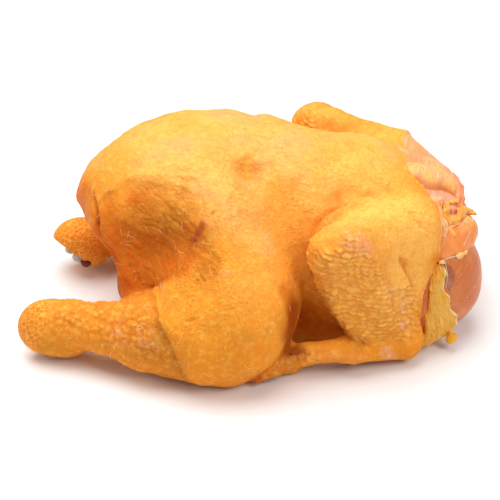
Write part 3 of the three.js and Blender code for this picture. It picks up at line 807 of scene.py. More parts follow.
def wrinkles(p, size, seed):
    """Thin grooves that run down over the flank: 1 in a groove and 0 between."""
    q = folded_side(p) + 2.2 * smooth_noise(p, 12, seed)[:, None]
    q = q - 0.9 * (q @ FLANK_GRAIN)[:, None] * FLANK_GRAIN
    groove = np.exp(-((smooth_noise(q, size, seed + 1) / 0.34) ** 2))
    return groove * ramp(smooth_noise(p, 9, seed + 2), -0.7, 0.2)


def relief(p, outward, m):
    """Height of the skin over its plain form in mm, and masks of painted shade and light."""
    side = {s: (p[:, 1] < 0) == (s == RIGHT) for s in BOTH}
    rows = np.where(side[RIGHT], follicle_rows(p, RIGHT), follicle_rows(p, LEFT))
    teeth = np.where(side[RIGHT], edge_teeth(p, outward, RIGHT), edge_teeth(p, outward, LEFT))
    first, second = cells(p, 3.4, 21)
    pebble = 1 - ramp(first, 0.05, 0.75)
    knob_first, _ = cells(p * vec(1.0, 0.6, 0.6), 4.2, 24)
    knobs = 1 - ramp(knob_first, 0.15, 0.75)
    pebbly = m["shank"] * (1 - m["heel"]) * (1 - m["scales"]) * ramp(-p[:, 0], 50, 72)
    soft = 1 - np.maximum.reduce([m["forearm"], m["hand"], m["scales"], m["heel"]])
    swell = 0.8 * smooth_noise(p, 30, 1) + 0.45 * smooth_noise(p, 13, 2)
    height = soft * (swell + 0.3 * smooth_noise(p, 6, 3) + 0.16 * smooth_noise(p, 3.4, 7))
    height += m["forearm"] * (1.7 * rows - 0.8 + 1.7 * teeth + 0.9 * smooth_noise(p, 16, 4))
    knobby = m["ridge"] * (1 - 0.7 * ramp(p[:, 0], 38, 52))
    height += knobby * (1.2 * knobs - 0.4) + 0.4 * m["hand"] * smooth_noise(p, 6, 25)
    rough = 0.65 + 0.35 * smooth_noise(p, 9, 26) - 0.35 * (1 - ramp(p[:, 2], 22, 36))
    height += pebbly * (1.4 * pebble - 0.45) * rough
    lines = flank(p) * np.maximum(wrinkles(p, 4.6, 61), 0.6 * wrinkles(p, 3.0, 65))
    height -= 1.2 * lines
    folded = folds(p)
    height += stocking(p) + folded - sags(p)
    # Painted shade in pits and creases, and painted light on the tops of the bumps.
    pit_shade = m["forearm"] * (1 - ramp(rows, 0.1, 0.7)) + 0.8 * pebbly * rough * (1 - pebble)
    pit_shade += 0.8 * knobby * (1 - knobs) + 0.9 * ramp(-folded, 0.6, 3.0) + 1.2 * lines
    top_light = m["forearm"] * ramp(rows, 0.35, 0.9) + 0.5 * pebbly * rough * ramp(pebble, 0.2, 0.9)
    top_light += 0.5 * knobby * ramp(knobs, 0.3, 0.9)
    return height, {"pit_shade": pit_shade, "top_light": top_light}


print("follicle rows lie", ROW_STEP, "mm apart, with a lobe every", ALONG_ROW, "mm")

# %% [markdown]
# ## The skin
#
# The surface is made once over the whole bird, and pushed out or in by the relief.  A Subdivision
# modifier would make all of it finer alike, so only the places with small relief are cut finer.
# The rest of the masks hold its colouring: the pale back, partly painted light on what faces up,
# the deep orange of the hollows, partly painted shade, painted shade in corners and underneath,
# painted light on lit sides, the blush over the bones and the cream edge of the cut.

# %% Colouring of the skin
BLUSHES = [  # patches where the skin lies thin over muscle or bone: place, radius, strength
    ((8, 33, 122), 17, 0.8), ((-12, 20, 128), 14, 0.5), ((60, -85, 105), 5, 0.8),
    ((69, -85, 99), 6, 0.8), ((30, -12, 128), 16, 0.35), ((73, -84, 94), 5, 0.8),
    ((64, 88, 99), 10, 0.8), ((90, 0, 116), 12, 0.5), ((-60, -20, 131), 10, 0.3),
    ((11, -68, 91), 7, 0.5), ((89, -85, 14), 7, 0.8), ((-14, -93, 84), 5, 0.5),
    ((84, -14, 122), 12, 0.4), ((-96, -10, 112), 8, 0.4),
]
STAINS = [
    ((-23, -65, 110), 2.4, 0.8), ((-26, -68, 107), 1.3, 0.6), ((-29, -69, 103), 3.4, 0.9),
    ((-32, -71, 98), 3.8, 0.95), ((-35, -72, 94), 4.0, 0.95), ((-37, -72, 88), 2.2, 0.45),
    ((5, -100, 7), 7, 0.7), ((-44, -104, 51), 1.1, 0.9), ((-73, -53, 102), 0.9, 0.7),
    ((-62, -56, 102), 0.8, 0.6), ((-77, -56, 64), 1.3, 0.9), ((-79, -34, 118), 1.6, 0.5),
    ((-81, -38, 113), 1.2, 0.4),
]
FLECKS = [  # where lilac flecks show
    ((66, -88, 99), 10, 1.0), ((60, -84, 104), 6, 0.8), ((76, -84, 90), 5, 0.8),
    ((88, -80, 60), 8, 0.6), ((96, -76, 46), 9, 0.9), ((99, -77, 33), 8, 0.9),
    ((89, -85, 14), 7, 1.0), ((80, -98, 30), 9, 0.5), ((-82, -92, 36), 10, 0.6),
    ((-62, -100, 40), 10, 0.6), ((-49, -46, 121), 3, 0.8), ((8, -70, 88), 12, 0.4),
    ((-10, 28, 128), 14, 0.4), ((-97, -17, 113), 4, 0.8),
]
# Painted shade in dips of the back and the flank hollow, with some dark blotches.
BRUISES_AND_SHADE = [
    ((0, -33, 122), 14, 1.0), ((-5, -48, 117), 11, 0.6), ((28, -46, 114), 11, 0.6),
    ((-34, -59, 112), 13, 0.8), ((-60, -52, 110), 17, 0.6), ((-42, -56, 110), 18, 0.8),
    ((70, -88, 26), 6, 0.7), ((-30, -72, 97), 13, 0.8), ((-26, -88, 84), 13, 0.45),
    ((-50, -62, 100), 18, 0.7),
]
# Deep orange: the skin's own deeper tone, and painted shade in hollows and recesses.
DEEP_AND_SHADED_PLACES = [  # right side; the left is the same
    ((-86, -46, 70), (22, 26, 36), 1.1), ((-64, -60, 76), (24, 20, 22), 0.9),
    ((-104, 0, 60), (18, 40, 34), 1.2), ((-84, -50, 44), (10, 12, 18), 1.4),
    ((-72, -66, 52), (20, 16, 18), 0.9), ((30, -54, 20), (50, 16, 24), 1.3),
    ((40, -56, 112), (22, 9, 12), 0.25), ((60, -62, 66), (22, 9, 18), 0.4),
    ((44, -57, 101), (12, 7, 8), 0.5), ((72, -89, 25), (9, 7, 6), 1.0),
    ((60, -86, 103), (12, 6, 6), 0.6), ((48, -84, 92), (8, 6, 10), 0.5),
    ((-36, -70, 99), (17, 14, 18), 1.0), ((-44, -73, 81), (15, 12, 14), 1.3),
    ((50, -92, 60), (9, 12, 26), 0.6), ((14, -98, 10), (14, 9, 8), 1.2),
    ((30, -92, 50), (12, 10, 26), 1.1), ((-108, 0, 88), (12, 30, 14), 0.8),
    ((-67, -48, 110), (14, 12, 8), 0.9), ((58, -41, 110), (16, 7, 7), 0.7),
    ((-2, -40, 120), (11, 10, 8), 0.35),
]
DARK_PLACES = [  # deep corners, where hardly any light comes
    ((31, -90, 43), (9, 12, 20), 1.2), ((22, -90, 58), (13, 13, 30), 0.55),
    ((20, -94, 24), (12, 6, 7), 1.2), ((-90, -49, 42), (9, 9, 16), 1.3),
    ((22, -92, 14), (8, 6, 6), 0.5),
]
PAINTED_LIGHT_PLACES = [  # painted light, and pale yellow skin where fat shines through
    ((80, -58, 105), (34, 16, 14), 1.0), ((28, -44, 113), (16, 12, 12), 0.6),
    ((104, -64, 74), (13, 14, 28), 1.1), ((88, -77, 72), (11, 10, 26), 0.6),
    ((50, -70, 102), (10, 10, 8), 0.6), ((-54, -78, 62), (13, 12, 10), 0.5),
    ((4, -68, 95), (14, 14, 16), 0.8), ((72, -20, 116), (40, 28, 14), 0.8),
    ((101, -67, 62), (11, 12, 22), 1.0), ((84, -85, 44), (12, 10, 24), 0.8),
]


def patches(p, places):
    """Uneven round patches."""
    mask = np.zeros(len(p), np.float32)
    uneven = 1 + 0.45 * smooth_noise(p, 5, 41) + 0.25 * smooth_noise(p, 2.2, 42)
    for at, radius, strength in places:
        away = length(p - vec(*at)) / (radius * uneven)
        mask = np.maximum(mask, strength * (1 - ramp(away, 0.25, 1.15)))
    return mask


def colouring(p, shown, outward, m):
    """Masks of the colours, from the plain form, the finished points and the outward directions."""
    drift = smooth_noise(p, 22, 51)
    up = outward[:, 2]
    c = {}
    # Pale back skin, plus painted light on what faces up and a faint painted sheen in front.
    shoulder = ramp(p[:, 0] + 12 * drift, 20, 70)
    c["pale"] = ramp(up + 0.3 * drift, 0.35, 1.05) * ramp(p[:, 2], 84, 118) * (1 - 0.6 * shoulder)
    c["pale"] *= 0.5 + 0.5 * ramp(p[:, 0], -95, -40)
    painted_sheen = ramp(p[:, 2] + 8 * drift, 48, 84) * ramp(p[:, 0] + 10 * drift, -30, 4)
    c["pale"] = np.maximum(c["pale"], 0.2 * painted_sheen)
    q = folded_side(p) + 5 * drift[:, None]
    # The deep mask carries painted shade under the far wing and on the far hock too.
    deep = sum(hollow(q, *row) for row in DEEP_AND_SHADED_PLACES) + hollow(p, (60, 57, 101), (24, 13, 10), 0.7)
    deep = deep + 0.25 * smooth_noise(p, 9, 52) * ramp(deep, 0.1, 0.5)
    deep_skin_and_shade = ramp(deep, 0.05, 1.35) * (1 - m["shank"]) * (1 - 0.7 * m["hand"])
    c["deep"] = np.maximum(deep_skin_and_shade, 0.7 * m["hock"] * (p[:, 1] > 0))
    # Masks of painted shade in deep corners and of painted light.
    for name, places in (("dark", DARK_PLACES), ("light", PAINTED_LIGHT_PLACES)):
        found = sum(hollow(q, *row) for row in places) - hollow(p, (60, 57, 102), (28, 17, 13), 2.0)
        c[name] = ramp(found + 0.2 * smooth_noise(p, 9, 53) * ramp(found, 0.1, 0.5), 0.1, 1.1)
    past = past_stocking(p)
    beside = ramp(past, -0.5, 1.5) * np.exp(-np.maximum(past - 2, 0) / 9)
    c["shade"] = beside * ramp(np.abs(p[:, 1]), 58, 68) * (1 - 0.5 * ramp(p[:, 2], 44, 56))
    c["shade"] = np.maximum(c["shade"], hollow(q, (-60, -104, 35), (20, 15, 13), 0.9))
    low = ramp(-p[:, 2] + 0.5 * p[:, 0] + 6 * drift, -64, -38)
    # Painted shade on the low parts of the bird that face down.
    c["under"] = (1 - ramp(up + 0.15 * drift, -0.2, 0.65)) * (1 - ramp(p[:, 2], 35, 65))
    c["olive"] = np.maximum(m["heel"], m["shank"] * (1 - m["scales"]) * low)
    c["olive"] = np.maximum(c["olive"], 0.6 * m["hand"] * (1 - ramp(p[:, 2], 8, 14)))
    c["wrinkled"] = np.maximum(flank(p), 0.6 * ramp(deep, 0.1, 0.8)) * (1 - m["shank"])
    before = ramp(p[:, 0] + 4 * drift, -30, -20) * (1 - ramp(p[:, 0] + 4 * drift, 2, 10))
    c["combed"] = np.maximum(m["thigh"] * (1 - c["wrinkled"]) * before, m["heel"])
    c["blush"] = patches(shown, BLUSHES)
    c["stain"] = patches(shown, STAINS)
    c["fleck"] = patches(shown, FLECKS)
    c["bruise_and_shade"] = patches(shown, BRUISES_AND_SHADE)
    c["rim"] = ramp(cut_distance(p) - m["wing"] * wing_spared(p), -1.3, -0.2)
    return c


print("small patches:", len(BLUSHES + STAINS + FLECKS + BRUISES_AND_SHADE))

# %% Make the skin
SKIN_GRID = 2.0 * FINE
SPACE_LOW, SPACE_HIGH = (-166, -130, -6), (170, 130, 149)
points, quads = surface(skin_form, SPACE_LOW, SPACE_HIGH, SKIN_GRID)
rough_masks = skin_masks(points.astype(np.float32))
busy = np.maximum.reduce([rough_masks[k] for k in ("forearm", "hand", "shank", "scales")])
by_cut = 1 - ramp(np.abs(cut_distance(points.astype(np.float32))), 2, 5)
in_fold = ramp(np.abs(folds(points.astype(np.float32))), 0.4, 1.2)
in_flank = flank(points.astype(np.float32))
chosen = (np.maximum.reduce([busy, by_cut, in_fold, in_flank]) > 0.4)[quads].any(axis=1)
points, faces = cut_in_four(points, quads, chosen)
points, outward = settle(skin_form, points)
p32 = points.astype(np.float32)
skin_mask = skin_masks(p32)
height, hollows = relief(p32, outward, skin_mask)
past_cut = 1 - ramp(cut_distance(p32), -2.5, -0.5)
off_table = ramp(points[:, 2], 0.3, 3)
points = points + outward * (height * past_cut * off_table)[:, None]
points[:, 2] = np.maximum(points[:, 2], 0)
skin_mask.update(hollows)
skin_mask.update(colouring(p32, points.astype(np.float32), outward, skin_mask))
skin = add_mesh("skin", points, faces, skin_mask)
hand_in(skin)

# %% Make the meat
MEAT_GRID = 1.5 * FINE
meat_points, meat_quads = surface(meat_form, (84, -80, -6), (166, 80, 140), MEAT_GRID)
meat_points = settle(meat_form, meat_points)[0]
# Darker and browner low on the breast: the meat's own colour, and painted shade.
low_meat = 1 - ramp(meat_points[:, 2] + 3 * smooth_noise(meat_points, 9, 91), 62, 72)
away = length(meat_points - vec(126, -15, 90))
dome = 1 - ramp(away + 2 * smooth_noise(meat_points, 6, 92), 8, 15)
meat = add_mesh("meat", meat_points, meat_quads.tolist(), {"breast": low_meat, "dome": dome})
hand_in(meat)

# %% [markdown]
# ## Small parts at the neck
#
# A butcher's cut leaves loose ends: a roll of neck skin, yellow fat around the stump of the neck
# with the bone in its middle, thin films that cling to the breast, a flap of skin turned inside
# out, and strands of white tissue.  Films and flap are thin sheets that follow the meat inside an
# outline; the rest are chains of rods and small lumps.  Cloth simulation could drape a film, but
# it would settle differently with each change; a height over the meat never floats or sinks in.


# %% Small part helpers
SHEET_REACH = 16


def sheet(p, form, at, along, across, outline, inner, outer, soft=0.6):
    """A thin sheet between two heights over another form, inside an outline."""
    q = p - vec(*at)
    edge = outline_distance(q @ along, q @ across, outline)
    edge = edge + 0.7 * smooth_noise(p, 4, 61) + 0.35 * smooth_noise(p, 1.6, 62)
    edge = np.maximum(edge, np.abs(q @ np.cross(along, across)) - SHEET_REACH)
    over = form(p)
    return trim(trim(over - outer, inner - over, 0.3), edge, soft)


def make_part(name, form, low, high, size, slot, tint=None):
    """A piece of the scene from a form, sampled in a box, with a mask for its second colour."""
    points, quads = surface(form, low, high, size * FINE)
    points, outward = settle(form, points)
    points[:, 2] = np.maximum(points[:, 2], 0)
    masks = {"tint": tint(points.astype(np.float32))} if tint else None
    piece = add_mesh(name, points, quads.tolist(), masks)
    hand_in(piece)
    return piece


def chains(p, routes, k=1.5):
    """Several chains of rods melted into one form."""
    d = np.full(len(p), 1e3, np.float32)
    for route, radii in routes:
        d = melt(d, chain(p, route, radii, 1.5), k)
    return d


# %% Neck skin, fat and bone
ROLL = ((97, -2, 98), (104.6, -4.3, 95.8), (112, -1.5, 92.3), (119, 1, 89), (125.5, 1, 86.5),
        (130, -3, 87))
ROLL_RADII = (10, 11.6, 11.8, 11.4, 9.6, 6)
ROLL_SHADE = ((104, -14, 105), (108, -14, 103), (114, -14, 97), (122, -10, 94), (131, -8, 88))
STUMP = (131.5, -22.5, 84.2)
FAT_LUMPS = [  # yellow fat round the bone and the loose ends beside it
    (((126.5, -27.5, 80), (132, -26, 78.5), (136.5, -21.5, 79)), (3.2, 4.6, 4.2)),
    (((136.5, -20, 81.5), (139, -16.5, 80.5), (143, -15, 79), (147.5, -14, 76.5)),
     (3.4, 2.6, 1.8, 1.9)),
    (((126.5, -28.5, 81), (126.5, -27, 86), (128.5, -23, 89)), (2.6, 2.2, 1.8)),
    (((129.5, -19, 88.5), (135, -15.5, 86.5)), (1.5, 2.0)),
    (((129, -35, 77.5), (131, -38, 75.5)), (1.8, 1.3)),
]
STRIP = ((130, 20, 86.5), (134.5, 12, 88.5), (137, 3, 87.5), (137, -6, 84.5), (135.5, -12, 81))


def roll_form(p):
    d = chain(p, ROLL, ROLL_RADII, 5)
    d = d + 0.9 * smooth_noise(p, 12, 71) + 0.5 * smooth_noise(p, 5, 72)
    fold = line_distance(p, ((97, -12, 107), (108, -1, 106), (120, 6, 99), (127, 5, 95)))
    return d + 1.3 * np.exp(-((fold / 1.6) ** 2))


def roll_lower_shade(p):
    """Painted shade along the lower edge of the roll."""
    return 0.8 * (1 - ramp(line_distance(p, ROLL_SHADE) + 2 * smooth_noise(p, 6, 85), 0.5, 6))


def neck_fat_form(p):
    d = chains(p, FAT_LUMPS, 3)
    return d + 0.9 * smooth_noise(p, 4.5, 73) + 0.6 * smooth_noise(p, 2.1, 74)


def bone_form(p):
    d = lump(p, STUMP, (3.6, 3.2, 3.4))
    return d + 0.6 * smooth_noise(p, 2.5, 75)


def bone_tint(p):
    return 1 - ramp(length(p - vec(133.5, -23, 84)), 1.5, 3.2)


def strip_form(p):
    d = chain(p, STRIP, (2.6, 3, 3, 2.8, 2), 2) + 0.2 * smooth_noise(p, 9, 76)
    inner = [(x + 3, y, z - 1.5) for x, y, z in STRIP]
    return melt(d, chain(p, inner, (1.6, 2, 2, 1.8, 1.4), 2), 0.6)


make_neck = [
    ("neck_roll", roll_form, (80, -24, 70), (148, 22, 116), 1.0, "skin_fat", roll_lower_shade),
    ("neck_fat", neck_fat_form, (114, -48, 66), (156, -2, 100), 0.7, "skin_fat"),
    ("neck_bone", bone_form, (120, -34, 74), (142, -12, 94), 0.6, "raw_meat", bone_tint),
    ("neck_strip", strip_form, (124, -20, 74), (150, 34, 102), 0.8, "raw_meat"),
]
neck_parts = {row[0]: make_part(*row) for row in make_neck}

# %% Films, strands and the loose flap
FILM_AT, FILM_ALONG, UPWARD = (135, -38, 70), unit(vec(0.75, 0.66, 0)), vec(0, 0, 1)
FILM = [
    (-11, 11), (-4, 9), (6, 9), (14, 7), (23, 6), (27, -2), (18, -9), (8, -7), (-4, -5), (-10, -4),
    (-19, -4), (-17, 3),
]
VEIL_AT = (124, -33, 86)
VEIL = [(3, 7), (9, 6), (8, 2), (4, -2), (0, -6), (-5, -10), (-9, -8), (-6, -4), (-2, 0), (1, 4)]
GREY_AT = (128, -56, 56)
GREY = [(-5, 9), (0, 9), (4, 4), (5, -2), (2, -8), (-1, -11), (-4, -4), (-6, 2)]
FLAP_AT, FLAP_ALONG = (122, -59, 35), unit(vec(0.9, 0.4, 0))
FLAP_EDGE = [(4, 30), (3, 24), (0.5, 16), (5, 8), (6, -1), (11.5, -8), (12, -18)]
FLAP = FLAP_EDGE + [
    (6, -26), (0, -33), (-14, -34), (-10, -21), (-12.5, -6), (-9.5, 3), (-10, 9), (-9, 16),
    (-6, 22), (-1, 28),
]
STRANDS = [  # white tissue drawn out over the film and the breast
    (((147, -16, 78), (146, -21, 77), (143, -32, 74), (140, -36, 69), (135, -46, 64)), 0.3),
    (((123, -53, 66), (129, -50, 66), (134, -46, 65), (140, -39, 64)), 0.36),
    (((121, -42, 79), (129, -35, 79), (137, -28, 79)), 0.25),
    (((120, -22, 92), (121, -27, 89), (122, -33, 86), (122, -38, 83), (123, -43, 78)), 0.4),
    (((125, -26, 87), (125, -31, 84), (124, -36, 81), (124, -41, 78)), 0.25),
    (((130, -61, 29), (136, -58, 32), (142, -53, 36), (147, -46, 40), (151, -38, 44)), 0.16),
    (((136, -59, 24), (141, -55, 27), (146, -50, 31), (151, -42, 37)), 0.13),
    (((127, -55, 66), (128, -58, 58), (127, -61, 50)), 0.3),
    (((132, -55, 50), (137, -52, 54), (142, -47, 58), (147, -40, 62)), 0.14),
]
TAGS = [
    (((133, -47, 65), (136, -45.5, 65), (140, -42, 64.5)), (0.8, 1.3, 0.9)),
    (((134, -47, 63.5), (137, -45, 63)), (0.8, 0.7)),
    (((121.5, -55.5, 66.5), (123.5, -54.5, 65.5)), (1.1, 1.3)),
]


def follow_meat(route, lift):
    """Points of a route moved onto the meat, a little above it."""
    points = lay(meat_form, route)
    grad = slope(meat_form, points)[1]
    return points + lift * grad / length(grad)[:, None]


def strands_form(p):
    d = np.full(len(p), 1e3, np.float32)
    for route, radius in laid_strands:
        d = melt(d, chain(p, route, (radius,) * len(route), 0.5), 0.4)
    return d


def tags_form(p):
    return chains(p, TAGS) + 0.4 * smooth_noise(p, 2.5, 77)


def film_form(p):
    return sheet(p, meat_form, FILM_AT, FILM_ALONG, UPWARD, FILM, -0.8, 0.9)


def veil_form(p):
    wrinkle = 0.5 * smooth_noise(p * vec(1.6, 0.8, 0.5), 3, 81)
    return sheet(p, meat_form, VEIL_AT, FILM_ALONG, UPWARD, VEIL, -0.8, 1.2) + wrinkle


def grey_form(p):
    return sheet(p, meat_form, GREY_AT, FILM_ALONG, UPWARD, GREY, -0.8, 0.5)


def flap_form(p):
    ripple = 1.1 * smooth_noise(p * vec(1.3, 1.3, 0.7), 6, 78) + 0.7 * smooth_noise(p, 2.6, 79)
    d = sheet(p, meat_form, FLAP_AT, FLAP_ALONG, UPWARD, FLAP, -0.5, 3.2, 1.2)
    foot = chain(p, ((106, -65, 9), (116, -62, 10), (126, -58, 13)), (5, 4.5, 3), 3)
    return melt(d, foot, 4) + 0.6 * ripple


def flap_tint(p):
    q = p - vec(*FLAP_AT)
    flat = np.stack([q @ FLAP_ALONG, q[:, 2], 0 * q[:, 2]], -1)
    line = [(u, v, 0) for u, v in FLAP_EDGE]
    return 1 - ramp(line_distance(flat, line) + 0.6 * smooth_noise(p, 3, 82), 0.4, 1.4)


def drop_form(p):
    d = melt(lump(p, (132, -62, 9.5), (3.3, 3.3, 3.8)), lump(p, (134.5, -61, 11), (2, 2, 2.4)), 1)
    d = melt(d, limb(p, (132, -61, 12), (130, -57, 18), 1.5, 1.8), 1)
    return d + 0.3 * smooth_noise(p, 4, 80)


laid_strands = [([tuple(v) for v in follow_meat(route, 0.8)], r) for route, r in STRANDS]
make_films = [
    ("breast_film", film_form, (102, -74, 50), (172, -4, 92), 0.8, "raw_meat"),
    ("neck_veil", veil_form, (104, -54, 68), (144, -10, 102), 0.7, "skin_fat"),
    ("grey_film", grey_form, (106, -80, 40), (150, -34, 72), 0.7, "raw_meat"),
    ("strands", strands_form, (114, -68, 18), (158, -8, 98), 0.35, "skin_fat"),
    ("fat_tags", tags_form, (116, -60, 58), (148, -36, 74), 0.5, "skin_fat"),
    ("skin_flap", flap_form, (90, -88, -4), (148, -36, 74), 0.8, "skin_fat", flap_tint),
    ("fat_drop", drop_form, (122, -70, 2), (142, -50, 24), 0.6, "skin_fat"),
]
film_parts = {row[0]: make_part(*row) for row in make_films}

# %% [markdown]
# ## Hock joints and hairs
#
# The feet were cut off at the hock.  In the cut lie two pale knobs of cartilage and a dark red
# spot of marrow.  Plucking leaves fine pale hairs, most of them on the thighs and the rump.  Each
# hair is a thin bent tube of mesh rather than a strand of a hair system, so that it can be
# exported with the rest.

# %% Hock joints
JOINTS = {
    LEFT: ((-126, 23.5, 23), (-120, 23, 17.5), (-115, 23, 13)),
    RIGHT: ((-138.1, -52.4, 23), (-137, -54.4, 16.9), (-135.8, -56.4, 10.8)),
}
KNOB_RADII = (3.4, 4.4, 4.0)


def joints_form(p):
    d = np.full(len(p), 1e3, np.float32)
    for knobs_at in JOINTS.values():
        for at, radius in zip(knobs_at, KNOB_RADII):
            d = melt(d, length(p - vec(*at)) - radius, 1.2)
    return d + 0.4 * smooth_noise(p, 4, 83)


def joints_tint(p):
    away = np.minimum(*(length(p - vec(*JOINTS[side][2])) for side in BOTH))
    return 1 - ramp(away + smooth_noise(p, 2.5, 84), 4.5, 6.5)


JOINTS_LOW, JOINTS_HIGH = (-160, -70, 0), (-106, 34, 32)
hock_joints = make_part(
    "hock_joints", joints_form, JOINTS_LOW, JOINTS_HIGH, 0.8, "raw_meat", joints_tint
)

# %% Hairs
HAIRS = 380
HAIR_STEPS, HAIR_SIDES = 8, 4
dice = np.random.default_rng(7)
hairy = np.maximum(skin_mask["thigh"], 0.8 * skin_mask["shank"]) + 0.6 * skin_mask["deep"]
hairy = hairy + 0.25 + 0.5 * skin_mask["forearm"] * ramp(-points[:, 2], -60, -30)
hairy[(points[:, 2] < 5) | (skin_mask["scales"] > 0.2)] = 0
roots = dice.choice(len(points), HAIRS, replace=False, p=hairy / hairy.sum())
hair_points, hair_faces = [], []
for root in roots:
    out = outward[root]
    aim = dice.normal(size=3) + (0.3, 0, -0.5)
    aim = aim - out * (aim @ out)
    aim = aim / length(aim)
    bend = np.cross(out, aim) * dice.normal(0, 0.45)
    reach, thick = dice.uniform(2.5, 7), dice.uniform(0.1, 0.17)
    first = len(hair_points)
    for t in np.linspace(0, 1, HAIR_STEPS):
        centre = points[root] + reach * t * (aim + bend * t) + out * (0.7 * math.sin(2.2 * t) - 0.1)
        for corner in range(HAIR_SIDES):
            angle = 2 * math.pi * corner / HAIR_SIDES
            ring = math.cos(angle) * out + math.sin(angle) * np.cross(out, aim)
            hair_points.append(centre + thick * (1 - 0.8 * t) * ring)
    for step in range(HAIR_STEPS - 1):
        for corner in range(HAIR_SIDES):
            a = first + step * HAIR_SIDES + corner
            b = first + step * HAIR_SIDES + (corner + 1) % HAIR_SIDES
            hair_faces.append([a, b, b + HAIR_SIDES, a + HAIR_SIDES])
    hair_faces.append([first + corner for corner in (3, 2, 1, 0)])
    hair_faces.append([len(hair_points) - HAIR_SIDES + corner for corner in range(HAIR_SIDES)])
hair_points = np.array(hair_points)
hair_points[:, 2] = np.maximum(hair_points[:, 2], 0)
hairs = add_mesh("hairs", hair_points, hair_faces)
hand_in(hairs)

# %% [markdown]
# ## Nodes
#
# Every finish below is made of noise, cells and masks.  Small helpers keep the node code
# readable: they make a node with its inputs filled in, mix two colours or do a sum.  What more
# than one finish needs is a node group with named inputs: goose bumps, drawn out streaks, broken
# creases, specks, cloudy patches and the thin yellow rims between the scales of the hock.


# %% Node helpers
def paint(code):
    """A colour from its six-digit code, as the linear light that shaders use."""
    parts = [int(code[i:i + 2], 16) / 255 for i in (0, 2, 4)]
    return tuple(c / 12.92 if c < 0.04045 else ((c + 0.055) / 1.055) ** 2.4 for c in parts) + (1,)


def plug(tree, value, socket):
    """Link another node's output to an input, or set the input to a plain value."""
    if isinstance(value, bpy.types.NodeSocket):
        tree.links.new(value, socket)
    else:
        socket.default_value = value


def add(tree, kind, inputs=None, **settings):
    made = tree.nodes.new("ShaderNode" + kind)
    for name, value in settings.items():
        setattr(made, name, value)
    for name, value in (inputs or {}).items():
        plug(tree, value, made.inputs[name])
    return made


def mask_of(tree, name):
    return add(tree, "Attribute", attribute_name=name).outputs["Fac"]


def mix(tree, factor, a, b):
    return add(tree, "Mix", {0: factor, 6: a, 7: b}, data_type="RGBA").outputs[2]


def maths(tree, operation, a, b=0.0, c=0.0):
    return add(tree, "Math", {0: a, 1: b, 2: c}, operation=operation).outputs[0]


def spread(tree, value, low, high, to_low=0.0, to_high=1.0):
    made = add(tree, "MapRange", {0: value, 1: low, 2: high, 3: to_low, 4: to_high})
    made.interpolation_type = "SMOOTHSTEP"
    return made.outputs[0]


def new_group(name, inputs, outputs):
    """An empty node group with named sockets, and its inputs and outputs inside."""
    group = bpy.data.node_groups.new(name, "ShaderNodeTree")
    for label, kind, value in inputs:
        socket = group.interface.new_socket(label, in_out="INPUT", socket_type=kind)
        socket.default_value = value
    for label, kind in outputs:
        group.interface.new_socket(label, in_out="OUTPUT", socket_type=kind)
    return group, group.nodes.new("NodeGroupInput"), group.nodes.new("NodeGroupOutput")


def place_group(tree, group, **values):
    made = tree.nodes.new("ShaderNodeGroup")
    made.node_tree = group
    for label, value in values.items():
        plug(tree, value, made.inputs[label])
    return made


print("mid grey as linear light:", np.round(paint("808080")[0], 3))

# %% Goose bumps
FLOAT, COLOUR, VECTOR = "NodeSocketFloat", "NodeSocketColor", "NodeSocketVector"

goose, goose_in, goose_out = new_group(
    "goose bumps",
    [("Size", FLOAT, 3.0), ("Patchiness", FLOAT, 0.5)],
    [("Height", FLOAT)],
)
place = add(goose, "TexCoord").outputs["Object"]
per_metre = maths(goose, "DIVIDE", 1000, goose_in.outputs["Size"])
pores = add(goose, "TexVoronoi", {"Vector": place, "Scale": per_metre, "Randomness": 0.9})
dome = spread(goose, pores.outputs["Distance"], 0.05, 0.6, 1.0, 0.0)
where = add(goose, "TexNoise", {"Vector": place, "Scale": 60.0, "Detail": 3.0})
patchy = spread(goose, where.outputs["Fac"], 0.35, 0.65)
kept = add(goose, "Mix", {0: goose_in.outputs["Patchiness"], 2: 1.0, 3: patchy}).outputs[0]
goose.links.new(maths(goose, "MULTIPLY", dome, kept), goose_out.inputs["Height"])


# %% Streaks and creases
def shaken_place(tree, scale, detail, reach):
    """Places on the piece, shifted about by a noise."""
    place = add(tree, "TexCoord").outputs["Object"]
    swirl = add(tree, "TexNoise", {"Vector": place, "Scale": scale, "Detail": detail})
    shift = {0: swirl.outputs["Color"], 1: (reach,) * 3}
    shift = add(tree, "VectorMath", shift, operation="MULTIPLY").outputs[0]
    return add(tree, "VectorMath", {0: place, 1: shift}, operation="ADD").outputs[0]


def drawn_out(tree, place, group_in):
    """The places turned, then divided by the group's sizes, so that a noise there is drawn out."""
    turned_in = {"Vector": place, "Rotation": group_in.outputs["Turn"]}
    aimed = add(tree, "Mapping", turned_in).outputs[0]
    fine = maths(tree, "DIVIDE", 1000, group_in.outputs["Across"])
    slow = maths(tree, "DIVIDE", 1000, group_in.outputs["Along"])
    stretch = add(tree, "CombineXYZ", {0: fine, 1: slow, 2: slow}).outputs[0]
    return add(tree, "VectorMath", {0: aimed, 1: stretch}, operation="MULTIPLY").outputs[0]


DRAWN_OUT = [("Across", FLOAT, 3.0), ("Along", FLOAT, 20.0), ("Turn", VECTOR, (0, 0, 0))]

streaks, streaks_in, streaks_out = new_group("streaks", DRAWN_OUT, [("Height", FLOAT)])
place = drawn_out(streaks, shaken_place(streaks, 28.0, 2.0, 0.004), streaks_in)
lines = add(streaks, "TexNoise", {"Vector": place, "Scale": 1.0, "Detail": 3.0})
streaks.links.new(spread(streaks, lines.outputs["Fac"], 0.36, 0.64), streaks_out.inputs["Height"])

